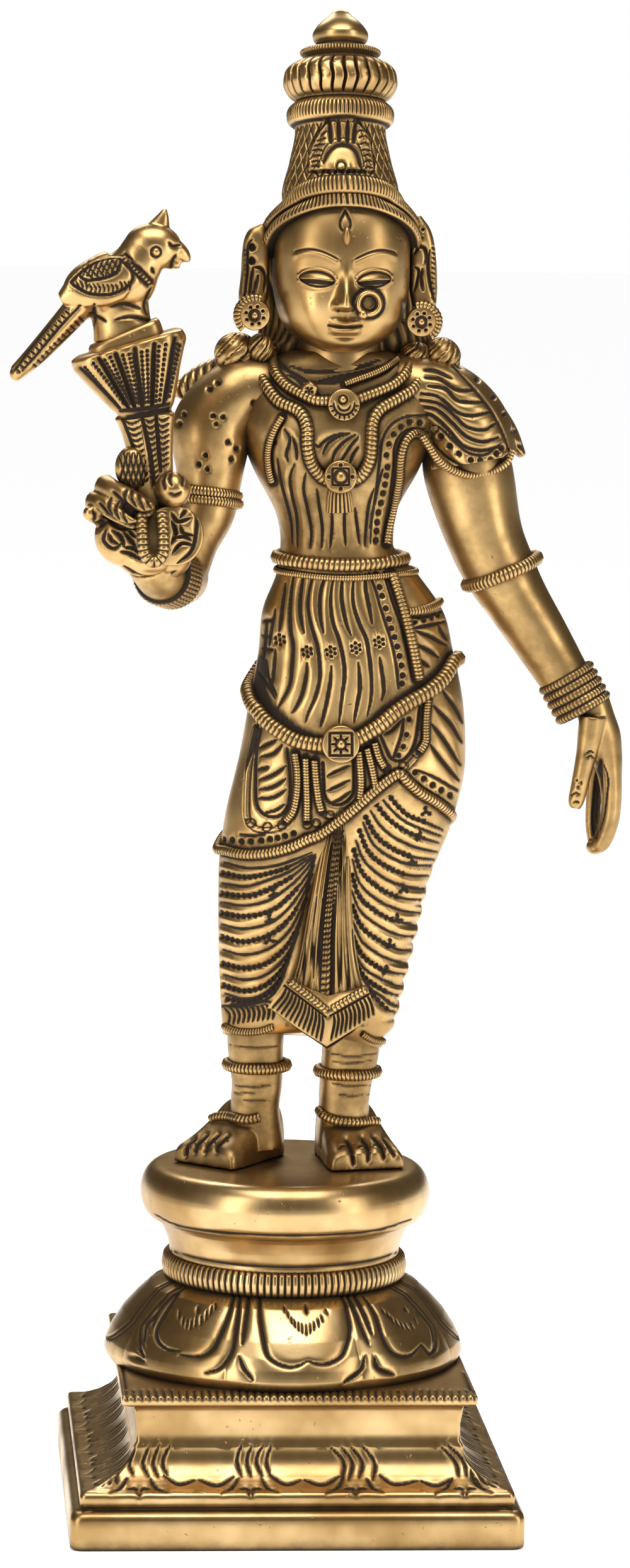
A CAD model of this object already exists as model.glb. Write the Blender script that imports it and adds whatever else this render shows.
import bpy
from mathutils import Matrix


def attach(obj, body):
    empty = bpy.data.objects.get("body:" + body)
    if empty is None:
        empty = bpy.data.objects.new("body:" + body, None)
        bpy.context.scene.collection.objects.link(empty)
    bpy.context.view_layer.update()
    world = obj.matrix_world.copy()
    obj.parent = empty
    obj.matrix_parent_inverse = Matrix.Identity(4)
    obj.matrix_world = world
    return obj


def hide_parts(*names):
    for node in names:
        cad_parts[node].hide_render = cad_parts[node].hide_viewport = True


bl_info = {
    "name": "Brass goddess with a parrot",
    "version": (1, 0, 0),
    "blender": (4, 5, 0),
    "location": "View3D > Sidebar > Goddess",
    "description": "Cast and chased brass goddess holding a parrot on a lotus, on a lotus pedestal",
    "category": "Object",
}

import math

import bpy
import numpy as np
from mathutils import Matrix, Vector
from mathutils.bvhtree import BVHTree

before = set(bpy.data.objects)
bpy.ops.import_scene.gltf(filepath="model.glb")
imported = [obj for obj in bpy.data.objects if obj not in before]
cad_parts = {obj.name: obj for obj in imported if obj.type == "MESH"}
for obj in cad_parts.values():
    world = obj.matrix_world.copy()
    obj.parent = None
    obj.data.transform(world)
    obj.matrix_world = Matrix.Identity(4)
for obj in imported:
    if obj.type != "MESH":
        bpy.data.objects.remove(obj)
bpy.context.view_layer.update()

MM = 0.001

# Numbers read from the drawing of the work, in millimetres

# Torso and skirt: height, left side, right side, front and back
BODY = np.array([
    (257, 1, 17, 7, 8), (253, -8, 27, 9, 9), (248, -13, 32, 11, 10), (243, -14, 32, 12.3, 10.5),
    (237, -12.5, 29.5, 13.2, 10.5), (230, -9.7, 26.5, 13, 9.8), (220, -4.5, 21.7, 10.6, 8),
    (214, -3.5, 21.3, 9.8, 7.6), (207, -4.3, 27, 10.6, 9), (199, -7.2, 32.6, 12.4, 12),
    (190, -8, 35, 13.5, 14), (180, -9.7, 37.2, 14, 14), (167, -11.9, 38.1, 14.2, 12.8),
    (153, -15, 35.6, 13.6, 11.5), (140, -16.2, 30.6, 12.6, 10.5), (127.5, -16.1, 27.8, 11.2, 9.5),
    (115, -15.6, 25, 9.8, 8.5), (101, -14.6, 22, 8, 7)
])
ROUND = 2 / 2.3

# Guide lines round the body: places of x and height across the front, and one height at the back
BELT = ([(-4, 210.6), (9, 209.8), (23, 210.6)], 211)
SASH = ([(-9.4, 187), (-8.8, 181.6), (-6.3, 177.2), (-1.6, 173.2), (3.2, 171), (9.4, 170.6),
         (16.1, 174.1), (21, 178.4), (30.9, 184.8), (34.6, 188.6)], 186)
APRON_HEM = ([(-16.1, 146.8), (-5.7, 147.1), (5, 151.2), (14.4, 157.9), (21.2, 162.3), (35, 154)], 149)
SKIRT_HEM = ([(-14.5, 104.6), (-7, 105.9), (3, 110), (15.2, 105.5), (21, 102)], 103)


# Small tools for rows of points
def smooth(xs, ys, x):
    """Smooth curve through ys at xs, without overshoot, read at x"""
    xs, ys = np.asarray(xs, float), np.asarray(ys, float)
    if xs[0] > xs[-1]:
        xs, ys = xs[::-1], ys[::-1]
    step = np.diff(xs)
    slope = (np.diff(ys, axis=0).T / step).T
    tangent = np.zeros_like(ys)
    before, after = slope[:-1], slope[1:]
    mean = (before + after) / 2
    same = before * after > 0
    limit = 2.5 * np.minimum(abs(before), abs(after))
    tangent[1:-1] = np.where(same, np.sign(mean) * np.minimum(abs(mean), limit), 0)
    tangent[0], tangent[-1] = slope[0], slope[-1]
    x = np.clip(x, xs[0], xs[-1])
    i = np.clip(np.searchsorted(xs, x, side="right") - 1, 0, len(xs) - 2)
    h = step[i]
    t = (x - xs[i]) / h
    if ys.ndim > 1:
        t, h = t[..., None], h[..., None]
    t2, t3 = t * t, t * t * t
    return ((2 * t3 - 3 * t2 + 1) * ys[i] + (t3 - 2 * t2 + t) * h * tangent[i]
            + (3 * t2 - 2 * t3) * ys[i + 1] + (t3 - t2) * h * tangent[i + 1])


def columns(table, at):
    """The columns of a table as smooth curves, read at places of its first column"""
    return [smooth(table[:, 0], table[:, k], at) for k in range(1, table.shape[1])]


def power(value, exponent):
    return np.sign(value) * np.abs(value) ** exponent


def step01(low, high, value):
    t = np.clip((value - low) / (high - low), 0, 1)
    return t * t * (3 - 2 * t)


def rounded(value, wide):
    return np.exp(-(value / wide) ** 2)


def unit(v):
    return v / np.maximum(np.linalg.norm(v, axis=-1, keepdims=True), 1e-12)


def run_along(points):
    """How far along a row of points each of them is"""
    return np.concatenate([[0], np.cumsum(np.linalg.norm(np.diff(points, axis=0), axis=1))])


def turns(count):
    """Angles evenly round a circle"""
    return np.linspace(0, 2 * np.pi, count, endpoint=False)


def turns_round(front, back):
    """Angles from the left by the front and back again, with their own counts in front and behind"""
    return np.concatenate([np.linspace(-np.pi, 0, front, endpoint=False),
                           np.linspace(0, np.pi, back, endpoint=False)])


def arc(middle, radius, count=20, first=0.0, last=2 * math.pi):
    """Places on a circle"""
    return [(middle[0] + radius * math.cos(a), middle[1] + radius * math.sin(a))
            for a in np.linspace(first, last, count)]


def shifted(row, x, y):
    return [(a + x, b + y) for a, b in row]


def strokes(count, *ends):
    """Even strokes: each point of a stroke runs from its place in the first one to its place in the last"""
    return list(np.stack([np.linspace(first, last, count) for first, last in ends], axis=1))


def spline(points, count, closed=False):
    """Evenly spaced points of a smooth curve through the given ones"""
    p = np.asarray(points, float)
    if closed:
        p = np.vstack([p[-1:], p, p[:2]])
    else:
        p = np.vstack([2 * p[0] - p[1], p, 2 * p[-1] - p[-2]])
    parts = []
    t = np.linspace(0, 1, 13)[:-1, None]
    for a, b, c, d in zip(p[:-3], p[1:-2], p[2:-1], p[3:]):
        parts.append(0.5 * (2 * b + (c - a) * t + (2 * a - 5 * b + 4 * c - d) * t ** 2
                            + (3 * b - a - 3 * c + d) * t ** 3))
    fine = np.vstack([*parts, p[-2:-1]])
    run = run_along(fine)
    at = np.linspace(0, run[-1], count + 1 if closed else count)
    if closed:
        at = at[:-1]
    return np.stack([np.interp(at, run, fine[:, k]) for k in range(p.shape[1])], axis=1)


PLACES_A_CURVE = 24


def between(curves, count):
    """Curves that change step by step from the first of the given ones to the last"""
    keys = np.stack([spline(c, PLACES_A_CURVE) for c in curves])
    at = np.linspace(0, len(curves) - 1, count)
    low = np.clip(np.floor(at).astype(int), 0, len(curves) - 2)
    part = (at - low)[:, None, None]
    return list(keys[low] * (1 - part) + keys[low + 1] * part)


# The view that the work is drawn from, and the chasing laid out on it
EYE_DISTANCE = 1249.0
EYE_HEIGHT = 311.5
YAW, PITCH, ROLL = math.radians(3.95), math.radians(6.90), math.radians(0.81)
SHEET = (1000, 2488)
SHEET_FOCUS = 9036.0
SHEET_OFFSET = -35.2
SHEET_UNITS = 7.25  # to the millimetre, where the figure stands

EYE = np.array([-EYE_DISTANCE * math.sin(YAW), -EYE_DISTANCE * math.cos(YAW), EYE_HEIGHT])
LEVEL = np.array([math.sin(YAW), math.cos(YAW), 0])
SIDE = np.array([math.cos(YAW), -math.sin(YAW), 0])
AHEAD = LEVEL * math.cos(PITCH) - np.array([0, 0, 1]) * math.sin(PITCH)
OVER = np.array([0, 0, 1]) * math.cos(PITCH) + LEVEL * math.sin(PITCH)
RIGHT = SIDE * math.cos(ROLL) + OVER * math.sin(ROLL)
UP = OVER * math.cos(ROLL) - SIDE * math.sin(ROLL)


def on_sheet(points):
    """Places on the drawing's sheet"""
    away = points - EYE
    depth = away @ AHEAD
    return np.stack([SHEET[0] / 2 + SHEET_OFFSET + SHEET_FOCUS * (away @ RIGHT) / depth,
                     SHEET[1] / 2 - SHEET_FOCUS * (away @ UP) / depth], axis=-1)


def off_sheet(place, y):
    """The point at depth y that is drawn at a place on the sheet"""
    u, v = place
    way = AHEAD * SHEET_FOCUS + RIGHT * (u - SHEET[0] / 2 - SHEET_OFFSET) - UP * (v - SHEET[1] / 2)
    return EYE + way * ((y - EYE[1]) / way[1])


VALLEY = 0.28  # share of a cut's depth that its shallow stained valley has
EDGE_CUT = 0.3  # depth of the dark edge round raised work


class Relief:
    """Chasing on a surface: how far each of its points is raised or cut, and how much patina it keeps"""

    def __init__(self, points, normals):
        self.points = points
        self.normals = normals
        self.sheet = on_sheet(points)
        self.front = step01(0.02, 0.2, -np.einsum("ij,ij->i", normals, unit(points - EYE)))
        self.raised = np.zeros(len(points))
        self.sunk = np.zeros(len(points))
        self.dirt = np.zeros(len(points))

    def near(self, places, reach):
        low, high = places.min(0) - reach, places.max(0) + reach
        s = self.sheet
        return np.nonzero((s[:, 0] > low[0]) & (s[:, 0] < high[0]) & (s[:, 1] > low[1])
                          & (s[:, 1] < high[1]) & (self.front > 0))[0]

    def measure(self, places, found):
        """Distance to a line of places, and the share of the way along it"""
        s = self.sheet[found]
        best = np.full(len(s), 1e9)
        along = np.zeros(len(s))
        total = max(len(places) - 1, 1)
        for k in range(len(places) - 1):
            a, b = places[k], places[k + 1]
            run = b - a
            t = np.clip(((s - a) @ run) / max(run @ run, 1e-9), 0, 1)
            d = np.linalg.norm(s - a - t[:, None] * run, axis=1)
            closer = d < best
            best[closer] = d[closer]
            along[closer] = (k + t[closer]) / total
        return best, along

    def mark(self, found, height, dirt):
        """Raises or cuts the points found, and darkens them"""
        height = height * self.front[found] * look().chase
        self.raised[found] = np.maximum(self.raised[found], height)
        self.sunk[found] = np.minimum(self.sunk[found], height)
        self.dirt[found] = np.maximum(self.dirt[found], dirt * self.front[found])

    def path(self, points, straight=False):
        """Close places along the smooth curve through points of the sheet"""
        places = np.asarray(points, float)
        return places if straight or len(places) < 3 else spline(places, min(6 * len(places), 40))

    def line(self, points, width=5.0, depth=0.6, dirt=1.0, taper=0.55, straight=False):
        """A groove cut along points of the sheet, in a shallow stained valley"""
        places = self.path(points, straight)
        found = self.near(places, width * 2.2)
        d, along = self.measure(places, found)
        full = 1 - taper * np.abs(2 * along - 1) ** 3
        share = d / np.maximum(width * 0.5 * full, 0.5)
        cut = (1 - VALLEY) * rounded(share, 0.85) + VALLEY * rounded(share, 2.4)
        stain = np.maximum(step01(1.2, 0.5, share), 0.42 * rounded(share, 2.2))
        self.mark(found, -depth * full * cut, dirt * stain)

    def lines(self, curves, **kw):
        for curve in curves:
            self.line(curve, **kw)

    def ridge(self, points, width=8.0, height=0.4):
        """A raised bead along points of the sheet, with dark edges"""
        places = self.path(points)
        found = self.near(places, width * 1.5)
        self.bead(found, self.measure(places, found)[0] / (width * 0.5), height, 1.3, 0.34)

    def boss(self, centre, radius=7.0, height=0.8):
        """A round raised boss in a dark ring"""
        found = self.near(np.asarray(centre, float)[None], radius * 1.9)
        away = np.linalg.norm(self.sheet[found] - centre, axis=1) / radius
        self.bead(found, away, height, 1.2, 0.26)

    def bead(self, found, away, height, edge, wide):
        """Raises what is within one half width, and darkens its edge"""
        self.mark(found, height * np.sqrt(np.clip(1 - away ** 2, 0, 1)), 0 * away)
        dark = rounded(away - edge, wide)
        self.mark(found, -EDGE_CUT * dark, dark)

    def plate(self, outline, height=0.5, edge=3.0):
        """Raises what lies within an outline, with a dark edge"""
        places = np.asarray(outline, float)
        found = self.near(places, edge * 3)
        s = self.sheet[found]
        odd = np.zeros(len(s), bool)
        for a, b in zip(places, np.roll(places, -1, 0)):
            crosses = (a[1] > s[:, 1]) != (b[1] > s[:, 1])
            odd ^= crosses & (s[:, 0] < a[0] + (s[:, 1] - a[1]) * (b[0] - a[0]) / (b[1] - a[1] + 1e-9))
        d = self.measure(np.vstack([places, places[:1]]), found)[0]
        self.mark(found, height * np.where(odd, step01(0, edge, d), 0), 0 * d)
        dark = np.where(odd, 0, rounded(d, edge))
        self.mark(found, -EDGE_CUT * dark, dark)

    def beds(self, cords):
        """Patina in the angles beside cords, given as rows of places with the radius in millimetres"""
        for row, radius in cords:
            self.line(row, 3 * SHEET_UNITS * radius + 3, 0.3, taper=0)

    def dots(self, centres, radius=4.5, depth=0.7):
        """Round punch marks"""
        for centre in np.asarray(centres, float).reshape(-1, 2):
            found = self.near(centre[None], radius * 2.2)
            d = np.linalg.norm(self.sheet[found] - centre, axis=1) / radius
            stain = np.maximum(step01(1.2, 0.75, d), 0.3 * rounded(d, 1.5))
            self.mark(found, -depth * np.exp(-d ** 4 * 0.9), stain)

    def dotted(self, points, pitch=14.0, radius=4.5, depth=0.7):
        """Punch marks along a line"""
        length = run_along(spline(points, 60))[-1]
        self.dots(spline(points, max(2, round(length / pitch) + 1)), radius, depth)

    def flowers(self, centres, reach=7.5, radius=3.1, petals=6):
        """Flowers punched as dots round a middle one"""
        for centre in centres:
            self.dots([centre, *arc(centre, reach, petals + 1, 0.4, 0.4 + 2 * math.pi)[:-1]], radius, 0.6)

    def finished(self):
        height = self.raised + self.sunk
        return self.points + self.normals * height[:, None], self.dirt


def look():
    return bpy.context.scene.goddess_brass


# Meshes from grids of points
def grid_normals(grid):
    """Outward normals of rows of points that run round a form"""
    across = np.roll(grid, -1, 1) - np.roll(grid, 1, 1)
    down = np.gradient(grid, axis=0)
    normal = unit(np.cross(across, down))
    middle = grid.mean(axis=1, keepdims=True)
    if np.sum((grid - middle) * normal) < 0:
        normal = -normal
    return normal


def grid_faces(rows, wide, closed=True):
    """Four-sided faces between rows of points, numbered row by row"""
    i, k = np.meshgrid(np.arange(rows - 1), np.arange(wide if closed else wide - 1), indexing="ij")
    nxt = (k + 1) % wide
    return np.stack([i * wide + k, i * wide + nxt, (i + 1) * wide + nxt, (i + 1) * wide + k], axis=-1).reshape(-1, 4)


def capped(grid):
    """Points and faces of rows that run round a form, closed at both ends"""
    rows, wide = grid.shape[:2]
    points = np.vstack([grid.reshape(-1, 3), grid[0].mean(0), grid[-1].mean(0)])
    k = np.arange(wide)
    nxt = (k + 1) % wide
    top, foot = rows * wide, (rows - 1) * wide
    first = np.stack([np.full(wide, top), nxt, k], axis=1)
    final = np.stack([np.full(wide, top + 1), foot + k, foot + nxt], axis=1)
    return points, [grid_faces(rows, wide), first, final]


def outward(points, faces):
    """The same faces, turned so that the closed form they make has its outside outwards"""
    volume = 0.0
    for group in faces:
        for k in range(1, group.shape[1] - 1):
            a, b, c = (points[group[:, j]] for j in (0, k, k + 1))
            volume += np.einsum("ij,ij->i", a, np.cross(b, c)).sum()
    return faces if volume > 0 else [group[:, ::-1] for group in faces]


def mesh_from(name, points, faces, dirt=None):
    """A mesh from points in millimetres and groups of faces"""
    mesh = bpy.data.meshes.new(name)
    mesh.vertices.add(len(points))
    mesh.vertices.foreach_set("co", (np.asarray(points) * MM).astype(np.float32).ravel())
    loops = np.concatenate([group.ravel() for group in faces])
    sizes = np.concatenate([np.full(len(group), group.shape[1]) for group in faces])
    mesh.loops.add(len(loops))
    mesh.loops.foreach_set("vertex_index", loops.astype(np.int32))
    mesh.polygons.add(len(sizes))
    mesh.polygons.foreach_set("loop_start", np.concatenate([[0], np.cumsum(sizes)[:-1]]).astype(np.int32))
    mesh.polygons.foreach_set("loop_total", sizes.astype(np.int32))
    mesh.update(calc_edges=True)
    mesh.validate()
    mesh.polygons.foreach_set("use_smooth", np.ones(len(mesh.polygons), bool))
    marks = mesh.attributes.new("patina", "FLOAT", "POINT")
    if dirt is not None:
        marks.data.foreach_set("value", np.asarray(dirt, np.float32))
    return mesh


def joined(parts):
    """Points, faces and patina of several forms as one"""
    points, faces, dirt, start = [], [], [], 0
    for p, groups, d in parts:
        points.append(p)
        dirt.append(d)
        faces.extend(group + start for group in groups)
        start += len(p)
    return np.vstack(points), faces, np.concatenate(dirt)


def worked_in(mesh, modifiers):
    """A mesh with modifiers of these kinds and settings worked in"""
    name = mesh.name
    holder = bpy.data.objects.new("work in hand", mesh)
    bpy.context.scene.collection.objects.link(holder)
    for kind, settings in modifiers:
        added = holder.modifiers.new(kind.lower(), kind)
        for setting, value in settings.items():
            setattr(added, setting, value)
    made = bpy.data.meshes.new_from_object(holder.evaluated_get(bpy.context.evaluated_depsgraph_get()))
    bpy.data.objects.remove(holder)
    bpy.data.meshes.remove(mesh)
    made.name = name
    return made


FINE_FACES = 34500  # triangles that a piece may have without being made lighter
FACES_KEPT = 0.4  # share that a lighter mesh keeps


def lighter(mesh):
    """The mesh with fewer faces where its surface is plain, if it has very many"""
    if len(mesh.loops) - 2 * len(mesh.polygons) < FINE_FACES:
        return mesh
    return worked_in(mesh, [("DECIMATE", {"ratio": FACES_KEPT})])


def piece(name, mesh, material, node, whole=False):
    """A finished piece of the figure, riding on the frame in place of its node"""
    mesh = mesh if whole else lighter(mesh)
    old = bpy.data.objects.get(name)
    if old:
        bpy.data.objects.remove(old)
    made = bpy.data.objects.new(name, mesh)
    bpy.context.scene.collection.objects.link(made)
    mesh.materials.clear()
    mesh.materials.append(material)
    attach(made, "root")
    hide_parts(node)
    return made


def cast(name, *parts, whole=False):
    """A piece of the figure from one or more forms"""
    return piece(name, mesh_from(name, *joined(parts)), cast_brass(), "figure", whole)


def sunk(grid, depth):
    """A form with its surface sunk by a depth at each point"""
    return grid - grid_normals(grid) * depth[..., None]


def carved(grid, chase=None, seed_dirt=None):
    """A closed form from a grid, with its chasing cut in"""
    normals = grid_normals(grid)
    relief = Relief(grid.reshape(-1, 3), normals.reshape(-1, 3))
    if seed_dirt is not None:
        relief.dirt = np.maximum(relief.dirt, seed_dirt.ravel())
    if chase:
        chase(relief)
    points, dirt = relief.finished()
    shape = points.reshape(grid.shape)
    points, faces = capped(shape)
    return points, outward(points, faces), np.concatenate([dirt, [0, 0]])


def tube(stations, towards=(0, 1, 0), around=64, step=0.5, roundness=1.0):
    """Rows round a limb through stations of x, y, z, half width and half depth"""
    s = np.asarray(stations, float)
    run = run_along(s[:, :3])
    rows = max(6, int(run[-1] / step))
    at = np.linspace(0, run[-1], rows)
    line = smooth(run, s, at)
    middle = line[:, :3]
    way = unit(np.gradient(middle, axis=0))
    across = unit(np.cross(way, np.asarray(towards, float)))
    deep = np.cross(across, way)
    angle = turns(around)
    c, d = power(np.cos(angle), roundness), power(np.sin(angle), roundness)
    return (middle[:, None] + across[:, None] * (line[:, 3, None] * c)[..., None]
            + deep[:, None] * (line[:, 4, None] * d)[..., None])


def egg(centre, radii, around=32, down=20):
    """Rows of an ellipsoid"""
    turn = turns(around)
    lift = np.linspace(0.02, np.pi - 0.02, down)
    sphere = np.stack([np.outer(np.sin(lift), np.cos(turn)), np.outer(np.sin(lift), np.sin(turn)),
                       np.outer(np.cos(lift), np.ones(around))], axis=-1)
    return np.asarray(centre, float) + sphere * np.asarray(radii, float)


def closed_ring(grid, dirt=0.0):
    """A form whose rows run round it, and whose last row joins its first"""
    count, n = grid.shape[:2]
    i, k = np.meshgrid(np.arange(count), np.arange(n), indexing="ij")
    j, m = (i + 1) % count, (k + 1) % n
    faces = np.stack([i * n + k, i * n + m, j * n + m, j * n + k], axis=-1).reshape(-1, 4)
    points = grid.reshape(-1, 3)
    return points, outward(points, [faces]), np.ravel(dirt) if np.ndim(dirt) else np.full(len(points), dirt)


def plain(grid):
    """A closed form from a grid, without chasing"""
    points, faces = capped(grid)
    return points, outward(points, faces), np.zeros(len(points))


# The body's form
def on_body(angle, z, proud=0.0):
    """Points of the torso or skirt at angles from her right hip round by the back, and at heights"""
    left, right, front, back = columns(BODY, z)
    across = (right - left) / 2 + proud
    depth = np.where(np.sin(angle) < 0, front, back) + proud
    x = (left + right) / 2 + across * power(np.cos(angle), ROUND)
    return np.stack([x, depth * power(np.sin(angle), ROUND), z + 0 * x], axis=-1)


BUST = ((-1.8, 236.5, 7, 7.5, 2.6), (20.5, 236.5, 7.5, 7.5, 2.4))


def swell(x, z):
    """How far the bust stands out at places on the front of the body"""
    return sum(out * np.exp(-((x - at) / wide) ** 2 - ((z - up) / tall) ** 2) for at, up, wide, tall, out in BUST)


def front_at(x, z, proud=0.0):
    """The point on the front of the body at this x and height"""
    x, z = np.asarray(x, float), np.asarray(z, float)
    left, right = columns(BODY, z)[:2]
    across = np.clip((x - (left + right) / 2) / ((right - left) / 2), -0.999, 0.999)
    point = on_body(-np.arccos(power(across, 1 / ROUND)), z, proud)
    point[..., 1] -= swell(x, z)
    return point


def line_height(line, angle):
    front, back = line
    front = np.asarray(front, float)
    x = on_body(angle, np.full_like(angle, back))[..., 0]
    height = smooth(front[:, 0], front[:, 1], x)
    return height + (back - height) * np.clip(2 * np.sin(angle), 0, 1)


BODY_COLUMNS = 260, 50  # in front and behind
BODY_ROW = 0.31  # from row to row


def body_angles(front, back):
    """Angles round the body, evenly spaced along its outline, more of them in front"""
    fine = np.linspace(-np.pi, np.pi, 2001)
    outline = on_body(fine, np.full_like(fine, 180.0))
    run = run_along(outline)
    half = run[1000]
    at = np.concatenate([np.linspace(0, half, front, endpoint=False),
                         np.linspace(half, run[-1], back, endpoint=False)])
    return np.interp(at, run, fine)


def body_zone(upper, lower, above=0.0, below=0.0):
    """Rows of the body between two guide lines, running a little past both"""
    angle = body_angles(*BODY_COLUMNS)
    top = line_height(upper, angle) + above
    foot = line_height(lower, angle) - below
    rows = int((top - foot).max() / BODY_ROW)
    share = np.linspace(0, 1, rows)[:, None]
    z = top * (1 - share) + foot * share
    return on_body(np.broadcast_to(angle, z.shape), z), angle, z


COLLAR = ([(-14, 256), (32, 256)], 256)

# Places of the chasing on the sheet
SKIRT_PLEATS = [
    [(452, 925), (447, 955), (445, 976), (442, 1001)],
    [(465, 913), (461, 941), (459, 973), (460, 1001), (464, 1025), (462, 1060), (458, 1089), (441, 1122)],
    [(481, 913), (476, 941), (475, 966), (478, 990), (482, 1004)],
    [(496, 915), (490, 938), (488, 962), (492, 987), (498, 1008), (503, 1025), (506, 1046), (507, 1074), (501, 1103),
      (489, 1131), (485, 1145)], [(517, 913), (510, 931), (507, 952), (508, 980), (513, 1004)],
    [(529, 917), (525, 941), (525, 966), (529, 990), (538, 1015), (545, 1046), (547, 1074), (543, 1103), (540, 1131),
      (538, 1148)], [(544, 913), (542, 938), (544, 962), (550, 990), (557, 1008)],
    [(562, 913), (560, 938), (562, 962), (571, 990), (582, 1015), (587, 1046), (590, 1078), (589, 1110), (583, 1136)],
    [(580, 911), (581, 934), (587, 966), (591, 990)], [(436, 1031), (433, 1057), (431, 1078), (426, 1092)],
    [(487, 1052), (485, 1074), (478, 1103), (468, 1124), (463, 1131)],
    [(526, 1057), (524, 1081), (519, 1110), (512, 1141), (509, 1153)],
    [(569, 1052), (571, 1074), (571, 1096), (566, 1124), (562, 1146)],
    [(603, 1043), (607, 1067), (610, 1096), (606, 1111)], [(422, 983), (419, 1018), (417, 1046)]
]
SKIRT_FLOWERS = [(443, 1015), (487, 1034), (525, 1034), (565, 1028), (602, 1019)]
STRIP_EDGES = [
    [(586, 909), (596, 934), (604, 962), (613, 990), (620, 1011), (626, 1036), (630, 1060), (633, 1092)],
    [(610, 908), (619, 938), (628, 966), (638, 990), (645, 1015), (650, 1039), (654, 1064), (656, 1078)]
]
STRIP_DOTS = [
    (597, 911), (603, 931), (607, 945), (613, 965), (618, 982), (622, 997), (627, 1011), (631, 1026), (635, 1041),
    (638, 1056), (640, 1072), (639, 1085)
]
HIP_LINES = [
    [(661, 1001), (685, 1010), (710, 1024)], [(661, 1022), (682, 1032), (697, 1043)],
    [(666, 1046), (675, 1053), (682, 1058)], [(655, 997), (682, 992), (706, 986)],
    [(648, 979), (678, 977), (704, 969)], [(697, 992), (704, 1004), (710, 1015)]
]
HIP_DOTS = [(659, 987), (674, 984), (687, 980), (697, 976)]
THIGH_LINES = [
    [(689, 1120), (717, 1148), (733, 1176)], [(685, 1148), (708, 1176), (731, 1213)],
    [(683, 1181), (704, 1208), (729, 1238)], [(704, 1096), (725, 1124), (734, 1145)]
]
LEFT_HIP_LINES = [
    [(417, 985), (433, 983)], [(414, 1008), (429, 1010)], [(414, 1029), (433, 1031)],
    [(436, 966), (429, 997), (426, 1025)], [(406, 1060), (419, 1081), (436, 1108)],
    [(422, 1046), (424, 1074), (438, 1103)], [(410, 1141), (401, 1180), (391, 1222)]
]
TAB_EDGES = [
    [(413, 1155), (406, 1187), (404, 1222), (405, 1271), (415, 1290), (433, 1297), (452, 1288), (460, 1264),
      (460, 1229), (455, 1188)],
    [(512, 1210), (513, 1236), (515, 1264), (527, 1276), (545, 1276), (561, 1260), (563, 1232), (562, 1201)],
    [(604, 1167), (613, 1188), (622, 1204), (640, 1207), (657, 1187), (664, 1159), (668, 1120)],
    [(641, 1141), (638, 1166), (626, 1201)]
]
TAB_STROKES = [
    [(438, 1174), (422, 1181), (411, 1187)], [(448, 1181), (433, 1195), (413, 1201)], [(426, 1217), (408, 1221)],
    [(454, 1215), (433, 1229), (410, 1238)], [(453, 1236), (433, 1248), (411, 1253)],
    [(454, 1253), (433, 1265), (409, 1267)], [(452, 1276), (436, 1286), (419, 1290)],
    [(555, 1215), (534, 1224), (519, 1232)], [(555, 1238), (534, 1249), (519, 1255)],
    [(557, 1256), (540, 1269), (524, 1275)], [(640, 1141), (622, 1159), (610, 1166)]
]
TAB_BOSSES = [
    (398, 1306), (424, 1312), (448, 1309), (488, 1309), (502, 1307), (524, 1294), (545, 1289), (566, 1275),
    (614, 1219), (640, 1215), (661, 1195)
]
TAB_DOTS = [(650, 1141), (646, 1166), (641, 1185), (633, 1199)]
TAB_ROPES = [
    [(468, 1195), (472, 1222), (472, 1253), (466, 1285), (454, 1302)],
    [(485, 1203), (486, 1236), (487, 1271), (487, 1301)], [(499, 1206), (501, 1236), (505, 1267), (510, 1287)],
    [(569, 1192), (572, 1222), (573, 1246), (571, 1267)], [(582, 1187), (590, 1218), (597, 1253)],
    [(594, 1178), (601, 1201), (610, 1217)], [(679, 1110), (677, 1131), (676, 1155), (675, 1176), (666, 1192)]
]
TAB_BARS = [
    [(405, 1155), (398, 1187), (392, 1236), (391, 1288), (394, 1302)],
    [(394, 1304), (406, 1315), (424, 1317), (443, 1314), (457, 1304)],
    [(510, 1287), (524, 1297), (545, 1293), (566, 1279), (571, 1267)],
    [(608, 1218), (622, 1231), (640, 1223), (661, 1201), (668, 1190)]
]
HEM_TOP = [
    [(380, 1324), (401, 1326), (419, 1324)], [(664, 1223), (692, 1234), (727, 1254)],
    [(654, 1240), (686, 1259), (720, 1280)]
]
HEM_DOTS_R = [(660, 1226), (674, 1236), (688, 1246), (702, 1254), (716, 1262)]
HEM_DOTS_L = [
    (353, 1332), (367, 1333), (382, 1335), (397, 1335), (414, 1334), (428, 1332), (440, 1330), (452, 1327),
    (466, 1323)
]
LEFT_FLOWERS = [(434, 1419), (427, 1460), (427, 1492)]
RIGHT_FLOWERS = [(677, 1289), (670, 1329), (656, 1368), (642, 1412), (633, 1459), (621, 1499), (616, 1541)]
PANEL_EDGES = [
    [(505, 1331), (495, 1366), (484, 1418), (474, 1474), (460, 1531), (426, 1601)],
    [(560, 1303), (560, 1355), (561, 1425), (567, 1496), (576, 1541), (591, 1583)]
]
PANEL_LINES = [
    [(502, 1422), (496, 1474), (498, 1552)], [(491, 1432), (484, 1474), (470, 1551)], [(484, 1496), (480, 1562)],
    [(511, 1425), (507, 1496), (507, 1566)], [(540, 1390), (542, 1460), (539, 1566)],
    [(554, 1348), (548, 1397), (554, 1571)], [(560, 1474), (567, 1524), (577, 1566)]
]
PANEL_LADDER = [(537, 1320), (532, 1366), (526, 1408), (522, 1446), (519, 1489), (519, 1531), (517, 1581)]
ARROW_ROPES = [[(460, 1557), (488, 1578), (518, 1603)], [(527, 1601), (554, 1585), (580, 1570)]]
ARROW_RIMS = [[(428, 1603), (474, 1636), (518, 1664)], [(520, 1663), (558, 1639), (593, 1617)]]
BORDER_DOTS = [
    (614, 723), (618, 705), (626, 689), (638, 677), (652, 669), (668, 671), (616, 742), (614, 756), (612, 770),
    (609, 784), (606, 799), (602, 814), (600, 829), (599, 843), (598, 858)
]
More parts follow.
